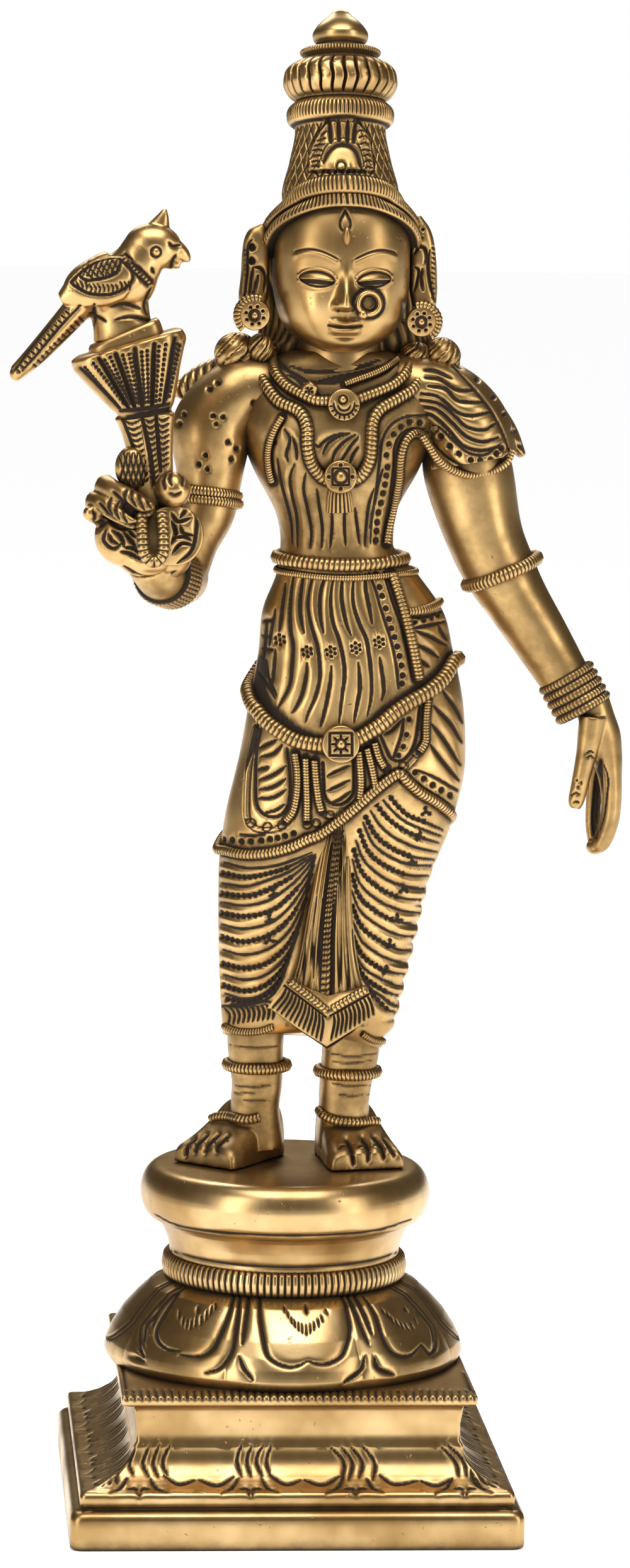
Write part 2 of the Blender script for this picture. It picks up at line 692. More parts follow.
BORDER_EDGES = [
    [(696, 657), (672, 659), (644, 661), (620, 675), (606, 701), (603, 729), (600, 761), (596, 793), (591, 825),
      (588, 862)],
    [(678, 681), (656, 680), (638, 689), (628, 709), (627, 737), (624, 765), (620, 797), (614, 829), (610, 862)]
]
COLLAR_LINES = [
    [(499, 606), (531, 598), (571, 590), (608, 579)], [(547, 609), (583, 598), (612, 586), (627, 571)],
    [(483, 590), (523, 588), (563, 584), (592, 578)], [(427, 568), (459, 588), (491, 606)]
]
CAPE_SWAGS = [
    [(676, 598), (700, 600), (724, 616), (756, 618)], [(680, 612), (708, 616), (728, 635), (768, 637)],
    [(668, 625), (696, 630), (724, 653), (748, 659), (780, 653)],
    [(666, 636), (696, 641), (720, 659), (740, 677), (768, 682), (788, 672)],
    [(664, 647), (692, 651), (716, 671), (740, 693), (768, 701), (792, 694)],
    [(664, 659), (684, 661), (708, 681), (732, 706), (764, 715), (794, 708)], [(676, 586), (692, 586), (716, 598)]
]
CAPE_DOTS = [
    (690, 681), (698, 693), (712, 708), (727, 720), (747, 730), (763, 730), (780, 729), (790, 719), (798, 711)
]
CAPE_EDGES = [
    [(678, 675), (696, 679), (720, 701), (744, 719), (772, 721), (796, 703)],
    [(682, 697), (700, 719), (724, 735), (752, 743), (784, 739), (806, 721)],
    [(718, 580), (744, 606), (772, 639), (790, 667), (802, 693), (812, 725)]
]
CAPE_TRIM = [(730, 580), (758, 602), (784, 630), (802, 657), (816, 685), (825, 709)]
ARM_DOTS = [
    (332, 617), (345, 607), (291, 657), (284, 672), (338, 660), (354, 662), (343, 673), (404, 640), (418, 646),
    (404, 655), (427, 659), (416, 667), (422, 675), (363, 702), (326, 723), (315, 737), (329, 745), (369, 729),
    (397, 712), (377, 712)
]
BUST_DOTS = [(432, 701)]

LONG_NECKLACE = [
    (412, 548), (411, 564), (411, 588), (423, 612), (443, 637), (475, 653), (487, 677), (488, 709), (495, 737),
    (511, 757), (525, 763)
]
LONG_NECKLACE_RIGHT = [
    (664, 550), (667, 564), (668, 592), (656, 616), (632, 632), (604, 649), (592, 669), (590, 701), (587, 729),
    (576, 751), (563, 762)
]
SHORT_NECKLACE = [(431, 548), (433, 564), (436, 588), (451, 609), (475, 624), (499, 635), (526, 636)]
SHORT_NECKLACE_RIGHT = [(646, 550), (651, 564), (646, 588), (628, 608), (604, 620), (583, 628), (565, 635)]
CHEST_BORDER_ROPE = [
    (676, 693), (660, 687), (646, 697), (638, 717), (635, 737), (634, 757), (630, 781), (624, 809), (618, 837),
    (614, 862)
]
SIDE_BORDER_ROPE = [(448, 661), (437, 679), (429, 699), (425, 721), (427, 745), (432, 765)]
COLLAR_ROPE = [(547, 610), (567, 602), (592, 593), (614, 582), (630, 570)]
NECKLACES = ((LONG_NECKLACE, 1.3), (LONG_NECKLACE_RIGHT, 1.3), (SHORT_NECKLACE, 1.2), (SHORT_NECKLACE_RIGHT, 1.2),
             (CHEST_BORDER_ROPE, 0.95), (SIDE_BORDER_ROPE, 0.8), (COLLAR_ROPE, 0.75))
CAPE_ROPE = [(670, 691), (682, 709), (696, 729), (718, 746), (748, 754), (780, 748), (804, 733), (813, 713)]
COLLAR_FOLDS = [
    [(455, 594), (491, 606), (531, 602), (571, 592), (608, 580)],
    [(459, 580), (491, 588), (531, 588), (571, 580), (604, 570)], [(495, 606), (531, 606), (567, 596), (612, 580)],
    [(547, 612), (579, 600), (612, 588), (630, 572)], [(443, 572), (467, 596), (487, 616), (507, 625)]
]
TORSO_CUTS = [
    [(496, 703), (507, 709), (513, 703), (527, 693), (545, 687)], [(513, 721), (521, 705), (537, 693), (555, 687)],
    [(527, 735), (533, 717), (547, 701), (565, 689)], [(539, 737), (549, 721), (559, 705), (569, 693)],
    [(555, 737), (561, 721), (569, 709)], [(451, 681), (459, 697), (453, 721), (457, 733)],
    [(463, 693), (469, 709), (471, 729)], [(467, 737), (459, 761), (463, 793), (469, 821), (471, 866)],
    [(485, 751), (481, 777), (487, 809), (493, 841), (492, 869)], [(503, 777), (507, 809), (511, 837), (510, 869)],
    [(527, 809), (527, 837), (524, 869)], [(547, 807), (547, 837), (549, 866)], [(564, 807), (568, 837), (571, 862)],
    [(594, 777), (587, 801), (583, 833), (580, 866)], [(608, 745), (600, 777), (596, 801)],
    [(439, 729), (443, 761), (451, 793), (459, 825), (463, 862)]
]
PETAL_EDGES = [
    [(413, 2050), (412, 2086), (417, 2121), (423, 2147), (435, 2160), (455, 2168), (473, 2167), (489, 2159)],
    [(489, 2159), (504, 2164), (522, 2163), (542, 2152), (552, 2132), (556, 2106), (549, 2070), (538, 2050)],
    [(287, 2044), (267, 2073), (248, 2106), (249, 2127), (264, 2140), (284, 2144)],
    [(284, 2150), (315, 2152), (336, 2141), (347, 2121), (362, 2086), (373, 2050)],
    [(382, 2050), (374, 2106), (366, 2147), (348, 2171), (326, 2179)], [(396, 2050), (389, 2096), (384, 2132)],
    [(379, 2152), (387, 2172), (401, 2190)], [(549, 2050), (565, 2081), (579, 2116), (586, 2132)],
    [(560, 2050), (579, 2083), (591, 2116)], [(579, 2152), (573, 2175), (547, 2194)],
    [(594, 2152), (602, 2171), (626, 2182)],
    [(576, 2055), (596, 2083), (607, 2116), (617, 2138), (632, 2150), (652, 2151), (670, 2133)],
    [(670, 2133), (685, 2148), (695, 2127), (693, 2101), (667, 2045)], [(190, 2095), (199, 2108), (214, 2107)],
    [(228, 2065), (222, 2106), (224, 2132)], [(213, 2086), (213, 2127), (228, 2152)],
    [(254, 2045), (233, 2086), (228, 2127)], [(269, 2040), (250, 2076), (240, 2106)],
    [(177, 2132), (198, 2147), (228, 2160)], [(700, 2086), (713, 2116), (723, 2137)],
    [(685, 2055), (704, 2096), (718, 2147)], [(675, 2045), (695, 2086), (708, 2127)]
]
PETAL_STROKES = [
    [(450, 2070), (453, 2084)], [(455, 2078), (459, 2092)], [(461, 2087), (465, 2102)], [(467, 2093), (469, 2107)],
    [(473, 2096), (475, 2113)], [(479, 2098), (481, 2117)], [(486, 2100), (487, 2121)], [(493, 2098), (493, 2117)],
    [(499, 2096), (499, 2112)], [(505, 2091), (507, 2106)], [(511, 2086), (513, 2099)], [(517, 2076), (521, 2087)],
    [(284, 2076), (283, 2094)], [(291, 2087), (289, 2104)], [(297, 2091), (295, 2109)], [(304, 2091), (301, 2111)],
    [(311, 2088), (309, 2107)], [(319, 2086), (318, 2104)], [(328, 2078), (326, 2096)], [(336, 2070), (333, 2088)],
    [(342, 2065), (341, 2080)], [(606, 2076), (612, 2086)], [(614, 2081), (620, 2093)], [(620, 2087), (627, 2101)],
    [(627, 2092), (636, 2107)], [(636, 2096), (643, 2111)], [(643, 2098), (651, 2112)], [(651, 2096), (658, 2110)],
    [(657, 2088), (663, 2101)], [(660, 2078), (666, 2089)]
]
PETAL_WEDGES = [[(485, 2069), (487, 2085)], [(314, 2072), (313, 2084)], [(642, 2072), (647, 2082)]]
BASE_LINES = [
    [(214, 2296), (205, 2320), (212, 2341)], [(237, 2295), (227, 2320), (236, 2343)],
    [(252, 2295), (243, 2320), (251, 2343)], [(269, 2295), (258, 2320), (267, 2342)],
    [(260, 2341), (284, 2354), (310, 2348)], [(314, 2347), (346, 2356), (372, 2342)],
    [(383, 2295), (376, 2316), (383, 2342)], [(400, 2294), (392, 2316), (398, 2342)],
    [(418, 2294), (407, 2316), (416, 2342)], [(431, 2294), (423, 2316), (428, 2338)],
    [(428, 2340), (453, 2354), (479, 2348)], [(483, 2348), (513, 2355), (539, 2342)],
    [(525, 2297), (546, 2320), (542, 2350)], [(541, 2296), (559, 2320), (554, 2348)],
    [(556, 2295), (575, 2320), (570, 2345)], [(575, 2295), (595, 2320), (592, 2348)],
    [(602, 2340), (626, 2354), (663, 2349)], [(667, 2349), (693, 2356), (718, 2346)],
    [(700, 2296), (724, 2320), (728, 2342)], [(711, 2293), (736, 2318), (742, 2343)], [(155, 2345), (152, 2361)],
    [(165, 2341), (163, 2358)], [(174, 2337), (174, 2356)], [(182, 2334), (186, 2354)], [(164, 2319), (188, 2327)],
    [(178, 2314), (199, 2320)], [(760, 2329), (766, 2347), (775, 2356)], [(772, 2334), (778, 2352), (788, 2359)],
    [(787, 2341), (790, 2354), (798, 2360)], [(747, 2331), (755, 2353), (766, 2361)], [(759, 2320), (774, 2326)],
    [(803, 2347), (806, 2360)]
]
BASE_LINES += [[(x + a, y) for a, y in row] for x in (220, 397, 564, 737) for row in (
    [(-16, 2362), (-5, 2361), (0, 2373)], [(17, 2362), (7, 2361), (2, 2373)],
    [(-46, 2369), (-29, 2360), (-18, 2344)], [(46, 2368), (28, 2360), (18, 2345)])]
PLATE_LINES = [[(195, 2165), (201, 2201)], [(737, 2178), (747, 2204)]]
BIRD_COLLAR = [(198, 402), (210, 414), (230, 432), (245, 447)]
BIRD_EYE = (248, 400)
WING_EDGE = [
    (190, 406), (160, 411), (133, 426), (112, 446), (120, 455), (143, 467), (175, 468), (204, 455), (213, 437),
    (203, 416)
]
WING_BAND = [(123, 434), (132, 443), (150, 444), (183, 434), (193, 412)]
WING_LATTICE = [*strokes(8, ((130, 439), (184, 434)), ((140, 415), (194, 410))),
                *strokes(6, ((130, 425), (179, 414)), ((148, 443), (190, 429)))]
WING_FEATHERS = [
    [(x, y), (x + 4, y + 8), (x + 2, y + 15)]
    for xs, y in ((range(120, 141, 7), 446), (range(141, 190, 7), 450), (range(190, 211, 7), 446)) for x in xs
]
TAIL_LINES = [
    [(127, 486), (105, 507), (83, 532), (59, 562), (36, 588)], [(98, 483), (73, 518), (45, 553), (22, 587)],
    [(144, 510), (118, 528), (84, 560), (49, 597)]
]
TAIL_STROKES = [*strokes(14, ((102, 492), (24, 585)), ((111, 499), (32, 592))),
                *strokes(12, ((126, 504), (53, 578)), ((134, 511), (61, 585)))]
BIRD_CUTS = [
    [(175, 488), (199, 483), (224, 489)], [(150, 483), (148, 510), (137, 531)], [(183, 507), (210, 503), (241, 510)],
    [(143, 497), (168, 510)], [(241, 457), (231, 482), (234, 499)], [(241, 425), (246, 433)],
    [(269, 430), (274, 418), (280, 405)], [(269, 385), (277, 390), (287, 388)]
]
FAN_GROOVES = [
    [(188, 650), (157, 618), (125, 586)], [(204, 650), (179, 608), (155, 567)], [(214, 649), (199, 604), (183, 560)],
    [(227, 649), (220, 601), (214, 552)], [(242, 648), (244, 597), (246, 545)], [(262, 644), (272, 590), (280, 535)]
]
FAN_DOTS = np.concatenate([np.linspace(first, last, 12) for first, last in (
    ((179, 638), (134, 584)), ((195, 640), (148, 577)), ((207, 641), (175, 567)), ((205, 637), (166, 572)),
    ((221, 640), (205, 562)), ((216, 639), (195, 564)), ((236, 638), (234, 557)), ((230, 639), (225, 559)),
    ((254, 635), (264, 547)), ((248, 637), (253, 550)), ((266, 632), (283, 546)), ((270, 629), (287, 549)))])
CONE_GROOVES = [
    [(192, 664), (210, 713), (225, 768)], [(225, 660), (237, 713), (245, 770)], [(248, 656), (251, 692), (256, 748)],
    [(192, 664), (231, 657), (272, 649)], [(190, 654), (231, 650), (270, 642)]
]
CONE_STROKES = [*strokes(11, ((195, 668), (224, 759)), ((209, 673), (231, 764)), ((223, 667), (236, 758))),
                *strokes(11, ((228, 665), (237, 756)), ((238, 670), (244, 761)), ((248, 664), (252, 755))),
                *strokes(9, ((251, 664), (253, 737)), ((259, 668), (259, 741)), ((269, 663), (269, 735)))]
NECK_LINES = [
    [(245, 1926), (274, 1942), (315, 1952), (387, 1959), (468, 1961), (545, 1959), (601, 1952), (653, 1935)],
    [(270, 1984), (315, 1997), (387, 2007), (468, 2011), (545, 2007), (596, 1999), (636, 1985)]
]
CROWN_ARCH = [
    [(489, 272), (490, 245), (502, 217), (514, 199), (528, 188)],
    [(560, 187), (576, 202), (586, 217), (591, 242), (594, 272)]
]
CROWN_RIM = [[(514, 260), (520, 245), (531, 234), (544, 231), (558, 235), (567, 246), (573, 270)]]
CROWN_GOUGES = [
    [(523, 194), (525, 227)], [(537, 192), (538, 225)], [(552, 192), (551, 227)], [(564, 196), (561, 227)]
]
CROWN_LEAVES = [
    [(522, 207), (514, 212), (510, 219)], [(519, 220), (512, 221), (504, 226)], [(516, 230), (507, 230), (499, 234)],
    [(514, 241), (506, 238), (497, 240)], [(512, 249), (505, 247), (496, 249)], [(509, 258), (503, 256), (496, 258)],
    [(507, 267), (502, 263), (495, 266)], [(566, 210), (572, 207), (577, 210)], [(568, 220), (576, 216), (582, 219)],
    [(570, 230), (578, 227), (584, 230)], [(570, 240), (580, 238), (587, 241)], [(575, 249), (582, 246), (588, 249)],
    [(577, 259), (583, 255), (589, 258)], [(579, 269), (583, 265), (589, 268)]
]
FINGER_RINGS = [
    [(202, 774), (196, 788), (202, 803)], [(214, 772), (208, 788), (216, 805)], [(227, 776), (222, 791), (229, 810)],
    [(176, 790), (171, 804), (178, 818)], [(187, 796), (183, 811), (189, 825)], [(199, 804), (196, 818), (202, 831)],
    [(147, 810), (152, 818), (148, 829)], [(239, 787), (236, 796), (241, 807)]
]
FINGER_GAPS = [
    [(179, 781), (196, 801), (219, 818), (245, 814)], [(157, 799), (173, 822), (193, 837), (217, 834)],
    [(142, 834), (156, 834), (166, 826)]
]
LEAF_LINES = [
    [(167, 840), (162, 858), (178, 872), (193, 863)], [(179, 842), (192, 851), (197, 867)],
    [(196, 844), (210, 858), (219, 876)], [(191, 876), (210, 881), (229, 890)], [(199, 869), (214, 872), (227, 881)],
    [(171, 847), (177, 859), (187, 863)], [(196, 899), (223, 917), (254, 921), (278, 908)], [(206, 842), (216, 852)]
]
STAR_LINES = [
    [(271, 812), (283, 827), (305, 821)], [(272, 825), (279, 845), (272, 864)], [(286, 832), (292, 846), (310, 850)],
    [(273, 879), (289, 863), (309, 866)], [(276, 854), (293, 852), (305, 858)], [(286, 822), (295, 809), (298, 796)],
    [(308, 795), (314, 818), (312, 850), (304, 876), (281, 894)]
]
TOE_GAPS = [
    [(309, 1806), (296, 1815), (294, 1834)], [(327, 1800), (312, 1815), (309, 1828)],
    [(346, 1799), (330, 1814), (325, 1829)], [(361, 1801), (347, 1814), (343, 1827)],
    [(550, 1807), (558, 1823), (563, 1848)], [(575, 1804), (585, 1822), (586, 1842)],
    [(594, 1803), (606, 1818), (611, 1838)], [(611, 1806), (623, 1822), (628, 1834)]
]
TOE_NAILS = [
    [(301, 1814), (305, 1811), (310, 1814)], [(315, 1813), (319, 1809), (324, 1813)],
    [(333, 1811), (338, 1808), (342, 1813)], [(350, 1811), (357, 1807), (363, 1812)],
    [(537, 1824), (543, 1817), (550, 1818)], [(567, 1821), (573, 1817), (579, 1819)],
    [(591, 1818), (596, 1815), (602, 1818)], [(613, 1821), (617, 1817), (622, 1821)]
]
ANKLE_MARKS = [
    [(362, 1657), (402, 1662), (446, 1660)], [(371, 1722), (404, 1725), (440, 1720)],
    [(377, 1743), (400, 1747), (428, 1747)], [(368, 1733), (392, 1735), (412, 1733)],
    [(520, 1672), (560, 1676), (601, 1671)], [(518, 1684), (554, 1687), (594, 1682)],
    [(517, 1717), (552, 1723), (592, 1722)], [(530, 1735), (556, 1739), (588, 1736)]
]
FOOT_ROPE_LEFT = [(332, 1778), (345, 1772), (365, 1772), (388, 1777), (405, 1775), (416, 1771)]
FOOT_ROPE_RIGHT = [(506, 1761), (517, 1772), (537, 1779), (566, 1781), (594, 1779), (608, 1781)]


# Shader maths and the brass
class Maths:
    """A socket in a node tree that can be used in sums"""

    def __init__(self, tree, socket):
        self.tree, self.socket = tree, socket

    def node(self, kind, settings=None, inputs=None):
        made = self.tree.nodes.new(kind)
        for key, value in (settings or {}).items():
            setattr(made, key, value)
        for key, value in (inputs or {}).items():
            if isinstance(value, Maths):
                self.tree.links.new(value.socket, made.inputs[key])
            else:
                made.inputs[key].default_value = value
        return made

    def made(self, kind, settings=None, inputs=None, output=0):
        """An output of a new node, for use in sums and as an input"""
        return Maths(self.tree, self.node(kind, settings, inputs).outputs[output])

    def sum(self, operation, first, second=0.0):
        return self.made("ShaderNodeMath", {"operation": operation}, {0: first, 1: second})

    def __add__(self, other):
        return self.sum("ADD", self, other)

    __radd__ = __add__

    def __sub__(self, other):
        return self.sum("SUBTRACT", self, other)

    def __rsub__(self, other):
        return self.sum("SUBTRACT", other, self)

    def __mul__(self, other):
        return self.sum("MULTIPLY", self, other)

    __rmul__ = __mul__

    def __truediv__(self, other):
        return self.sum("DIVIDE", self, other)

    def __pow__(self, other):
        return self.sum("POWER", self, other)

    def most(self, other):
        return self.sum("MAXIMUM", self, other)

    def rise(self, low, high):
        """Nought below low, one above high, smooth between them"""
        return self.made("ShaderNodeMapRange", {"interpolation_type": "SMOOTHSTEP"},
                         {"Value": self, "From Min": low, "From Max": high})

    def mixed(self, first, second):
        """The first colour where this is nought, and the second where it is one"""
        return self.made("ShaderNodeMix", {"data_type": "RGBA"}, {0: self, 6: first, 7: second}, output=2)


def brass(name, gold, deep, patina, crevice=0.004, pits=1.0, tarnish=0.5, dull=0.21):
    """Polished cast brass: dark patina in the cuts and crevices, casting pits and fine brush marks"""
    material = bpy.data.materials.new(name)
    material.use_nodes = True
    tree = material.node_tree
    tree.nodes.clear()
    start = Maths(tree, None)
    where = start.made("ShaderNodeTexCoord", output="Object")

    def noise(scale, detail=3.0, rough=0.55, stretch=None):
        place = start.made("ShaderNodeMapping", None, {"Vector": where, "Scale": stretch}) if stretch else where
        return start.made("ShaderNodeTexNoise", None,
                          {"Vector": place, "Scale": scale, "Detail": detail, "Roughness": rough})

    cut = start.made("ShaderNodeAttribute", {"attribute_name": "patina", "attribute_type": "GEOMETRY"}, output="Fac")
    shut = 1.0 - start.made("ShaderNodeAmbientOcclusion", {"samples": 6}, {"Distance": crevice}, "AO")
    uneven = noise(300.0, 4.0)
    broad = noise(55.0, 3.0)
    grime = cut + (uneven - 0.5) * 0.4
    hollow = shut + (uneven - 0.5) * 0.35
    black = grime.rise(0.42, 0.8).most(hollow.rise(0.46, 0.78))
    spots = noise(900.0, 2.0, 0.5)
    pitted = spots.rise(0.68, 0.74) * noise(120.0, 2.0).rise(0.5, 0.62) * pits
    brown = (grime * (0.6 + 0.8 * broad)).rise(0.06, 0.5).most(hollow.rise(0.08, 0.46) * 0.95)
    brown = brown.most(pitted).most(broad.rise(0.46, 0.8) * tarnish)
    tone = broad.rise(0.3, 0.7).mixed(gold, deep)
    umber = tuple(0.28 * d + 0.5 * p for d, p in zip(deep, patina))
    colour = black.mixed((brown * 0.85).mixed(tone, umber), patina)
    brushed = noise(420.0, 3.0, 0.6, (1.0, 1.0, 0.12))
    rough = dull + 0.14 * broad + 0.1 * brushed + 0.16 * brown + 0.2 * black
    height = brushed * 0.35 + uneven * 0.3 - pitted * 1.6 + noise(1500.0, 2.0) * 0.1
    bump = start.made("ShaderNodeBump", None, {"Strength": 0.4, "Distance": 0.00012, "Height": height})
    metal = start.made("ShaderNodeBsdfPrincipled", None, {
        "Base Color": colour, "Roughness": rough, "Metallic": 1.0 - 0.5 * black, "Normal": bump})
    start.node("ShaderNodeOutputMaterial", None, {"Surface": metal})
    return material


def found_or_made(name, colour, **kw):
    """The brass of this name, with the user's colours"""
    return bpy.data.materials.get(name) or brass(
        name, (*colour, 1), (*look().deep, 1), (*look().patina, 1), **kw)


def cast_brass():
    return found_or_made("chased brass", look().gold)


def plinth_brass():
    return found_or_made("plinth brass", look().pale, pits=0.8, tarnish=0.2, dull=0.19)


# Ribbed cords, which follow paths laid on the figure
CORD_SIDES = 8
GROOVE_POWER = 7.0  # the higher, the narrower the grooves
RIB_INPUTS = {"Rib pitch": 0.62, "Rib depth": 0.14, "Slant": 0.12}


def cord_tree(material):
    """Geometry Nodes: a round cord along each curve, cut by even slanted grooves"""
    old = bpy.data.node_groups.get("ribbed cord")
    if old:
        bpy.data.node_groups.remove(old)
    tree = bpy.data.node_groups.new("ribbed cord", "GeometryNodeTree")
    face, start = tree.interface, Maths(tree, None)
    face.new_socket("Geometry", in_out="INPUT", socket_type="NodeSocketGeometry")
    for name, value in RIB_INPUTS.items():
        made = face.new_socket(name, in_out="INPUT", socket_type="NodeSocketFloat")
        made.default_value = value
    face.new_socket("Geometry", in_out="OUTPUT", socket_type="NodeSocketGeometry")
    given = start.node("NodeGroupInput")
    paths, pitch, depth, slant = (Maths(tree, given.outputs[name]) for name in ("Geometry", *RIB_INPUTS))

    def captured(geometry, **values):
        """A curve that keeps these values at its points, and what it keeps"""
        made = start.node("GeometryNodeCaptureAttribute", {"domain": "POINT"})
        for name in values:
            made.capture_items.new("FLOAT", name)
        for k, value in enumerate((geometry, *values.values())):
            tree.links.new(value.socket, made.inputs[k])
        return [Maths(tree, made.outputs[k]) for k in range(len(values) + 1)]

    radius = start.made("GeometryNodeInputRadius")
    along = start.made("GeometryNodeSplineParameter", output="Length")
    path, phase, size = captured(paths, phase=along / (radius * pitch), size=radius)
    circle = start.made("GeometryNodeCurvePrimitiveCircle", None, {"Resolution": CORD_SIDES, "Radius": 1.0})
    rim, turn = captured(circle, turn=start.made("GeometryNodeSplineParameter", output="Factor"))
    swept = start.made("GeometryNodeCurveToMesh", None,
                       {"Curve": path, "Profile Curve": rim, "Scale": radius, "Fill Caps": True})
    slanted = start.sum("SINE", turn * (2 * math.pi)) * slant + phase
    groove = start.sum("ABSOLUTE", start.sum("COSINE", slanted * math.pi)) ** GROOVE_POWER
    inward = start.made("ShaderNodeVectorMath", {"operation": "SCALE"},
                        {0: start.made("GeometryNodeInputNormal"), "Scale": groove * depth * size * -1.0})
    cord = start.made("GeometryNodeSetPosition", None, {"Geometry": swept, "Offset": inward})
    cord = start.made("GeometryNodeStoreNamedAttribute", {"data_type": "FLOAT", "domain": "POINT"},
                      {"Geometry": cord, "Name": "patina", "Value": groove})
    for kind in ("GeometryNodeSetShadeSmooth", "GeometryNodeRealizeInstances"):
        cord = start.made(kind, None, {"Geometry": cord})
    cord = start.made("GeometryNodeSetMaterial", None, {"Geometry": cord, "Material": material})
    start.node("NodeGroupOutput", None, {"Geometry": cord})
    return tree


def set_input(modifier, name, value):
    """Sets a modifier's input by its socket's identifier"""
    for item in modifier.node_group.interface.items_tree:
        if item.item_type == "SOCKET" and item.in_out == "INPUT" and item.name == name:
            modifier[item.identifier] = value


RINGS_A_RIB = 5  # rings of points along a cord for each of its ribs


def cords(name, paths, closer=1.0):
    """One piece of ribbed cords: each path is its points in millimetres, its radius, and whether it is closed"""
    pitch, depth = look().rib_pitch * closer, look().rib_depth
    curve = bpy.data.curves.new(name + " paths", "CURVE")
    curve.dimensions = "3D"
    for points, radius, loop in paths:
        length = run_along(spline(points, 200, loop))[-1]
        count = max(8, round(RINGS_A_RIB * length / (radius * pitch)))
        fine = spline(points, count, loop)
        run = curve.splines.new("POLY")
        run.points.add(len(fine) - 1)
        run.points.foreach_set("co", np.column_stack([fine * MM, np.ones(len(fine))]).ravel())
        run.points.foreach_set("radius", np.full(len(fine), radius * MM))
        run.use_cyclic_u = loop
    holder = bpy.data.objects.new(name + " paths", curve)
    bpy.context.scene.collection.objects.link(holder)
    made = holder.modifiers.new("ribs", "NODES")
    made.node_group = cord_tree(cast_brass())
    for key, value in (("Rib pitch", pitch), ("Rib depth", depth)):
        set_input(made, key, value)
    ready = holder.evaluated_get(bpy.context.evaluated_depsgraph_get())
    mesh = bpy.data.meshes.new_from_object(ready)
    mesh.name = name
    bpy.data.objects.remove(holder)
    piece(name, mesh, cast_brass(), "figure", whole=True)


def seen(places, y):
    """Points drawn at places of the sheet, at the depths that y gives for x and height"""
    found = []
    for place in places:
        depth = 0.0
        for _ in range(4):
            x, _, z = off_sheet(place, depth)
            depth = y(x, z)
        found.append(off_sheet(place, depth))
    return np.array(found)


def on_front(places, proud=0.3):
    """Points on the front of the body drawn at places of the sheet"""
    return seen(places, lambda x, z: front_at(x, z, proud)[1])


def around_body(line, proud, count=160):
    angle = body_angles(count * 2 // 3, count // 3)
    return on_body(angle, line_height(line, angle), proud)


# Soft forms that are fused from simpler ones, and chased afterwards
def fused(parts, voxel=0.4, passes=3):
    """One skin round several overlapping forms, with softened joints"""
    points, faces, _ = joined(parts)
    mesh = mesh_from("fused forms", points, faces)
    return worked_in(mesh, [("REMESH", {"mode": "VOXEL", "voxel_size": voxel * MM}),
                            ("SMOOTH", {"factor": 0.5, "iterations": passes})])


def chased(name, mesh, chase):
    """A piece of the figure from a fused mesh, with its chasing cut in"""
    count = len(mesh.vertices)
    points, normals = np.empty(count * 3), np.empty(count * 3)
    mesh.vertices.foreach_get("co", points)
    mesh.vertex_normals.foreach_get("vector", normals)
    relief = Relief(points.reshape(-1, 3) / MM, normals.reshape(-1, 3))
    chase(relief)
    shape, dirt = relief.finished()
    mesh.vertices.foreach_set("co", (shape * MM).ravel())
    marks = mesh.attributes.get("patina") or mesh.attributes.new("patina", "FLOAT", "POINT")
    marks.data.foreach_set("value", dirt.astype(np.float32))
    mesh.polygons.foreach_set("use_smooth", np.ones(len(mesh.polygons), bool))
    mesh.name = name
    mesh.update()
    piece(name, mesh, cast_brass(), "figure")


# The dress: torso, skirt, drape over the legs and the panel between them
BACK_PLEATS = 9
BACK_PLEAT_DEPTH = 0.5


def back_pleats(grid, angle):
    """Plain pleats round the back, where the front's chasing ends"""
    share = np.clip(np.sin(angle) * 1.6 + 0.1, 0, 1)
    wave = np.abs(np.cos(angle * BACK_PLEATS)) ** 6 * share + 0 * grid[..., 0]
    return sunk(grid, BACK_PLEAT_DEPTH * wave), wave * 0.75


def laid(places, proud=0.0):
    """Points on the front of the body at places of x and height"""
    return np.array([front_at(x, z, proud) for x, z in places])


def drawn_at(places):
    """Where points on the front of the body are drawn"""
    return on_sheet(laid(places))


def make_torso():
    grid, angle, z = body_zone(COLLAR, BELT, below=0.8)
    grid[..., 1] -= swell(grid[..., 0], z) * (grid[..., 1] < 0)
    grid, dirt = back_pleats(grid, angle)
    dirt = np.maximum(dirt, 0.3 + 0.2 * step01(236, 246, z))

    def chase(relief):
        relief.beds(NECKLACES)
        relief.lines(TORSO_CUTS, width=17, depth=0.5, dirt=0.35)
        relief.lines(TORSO_CUTS, width=6.5, depth=0.8)
        relief.lines(BORDER_EDGES, width=5.5, depth=0.55)
        relief.dots(BORDER_DOTS, 5.0, 0.7)
        relief.lines(COLLAR_LINES + COLLAR_FOLDS, width=6.5, depth=0.7)
        relief.dots(BUST_DOTS, 6)
    cast("torso", carved(grid, chase, dirt))


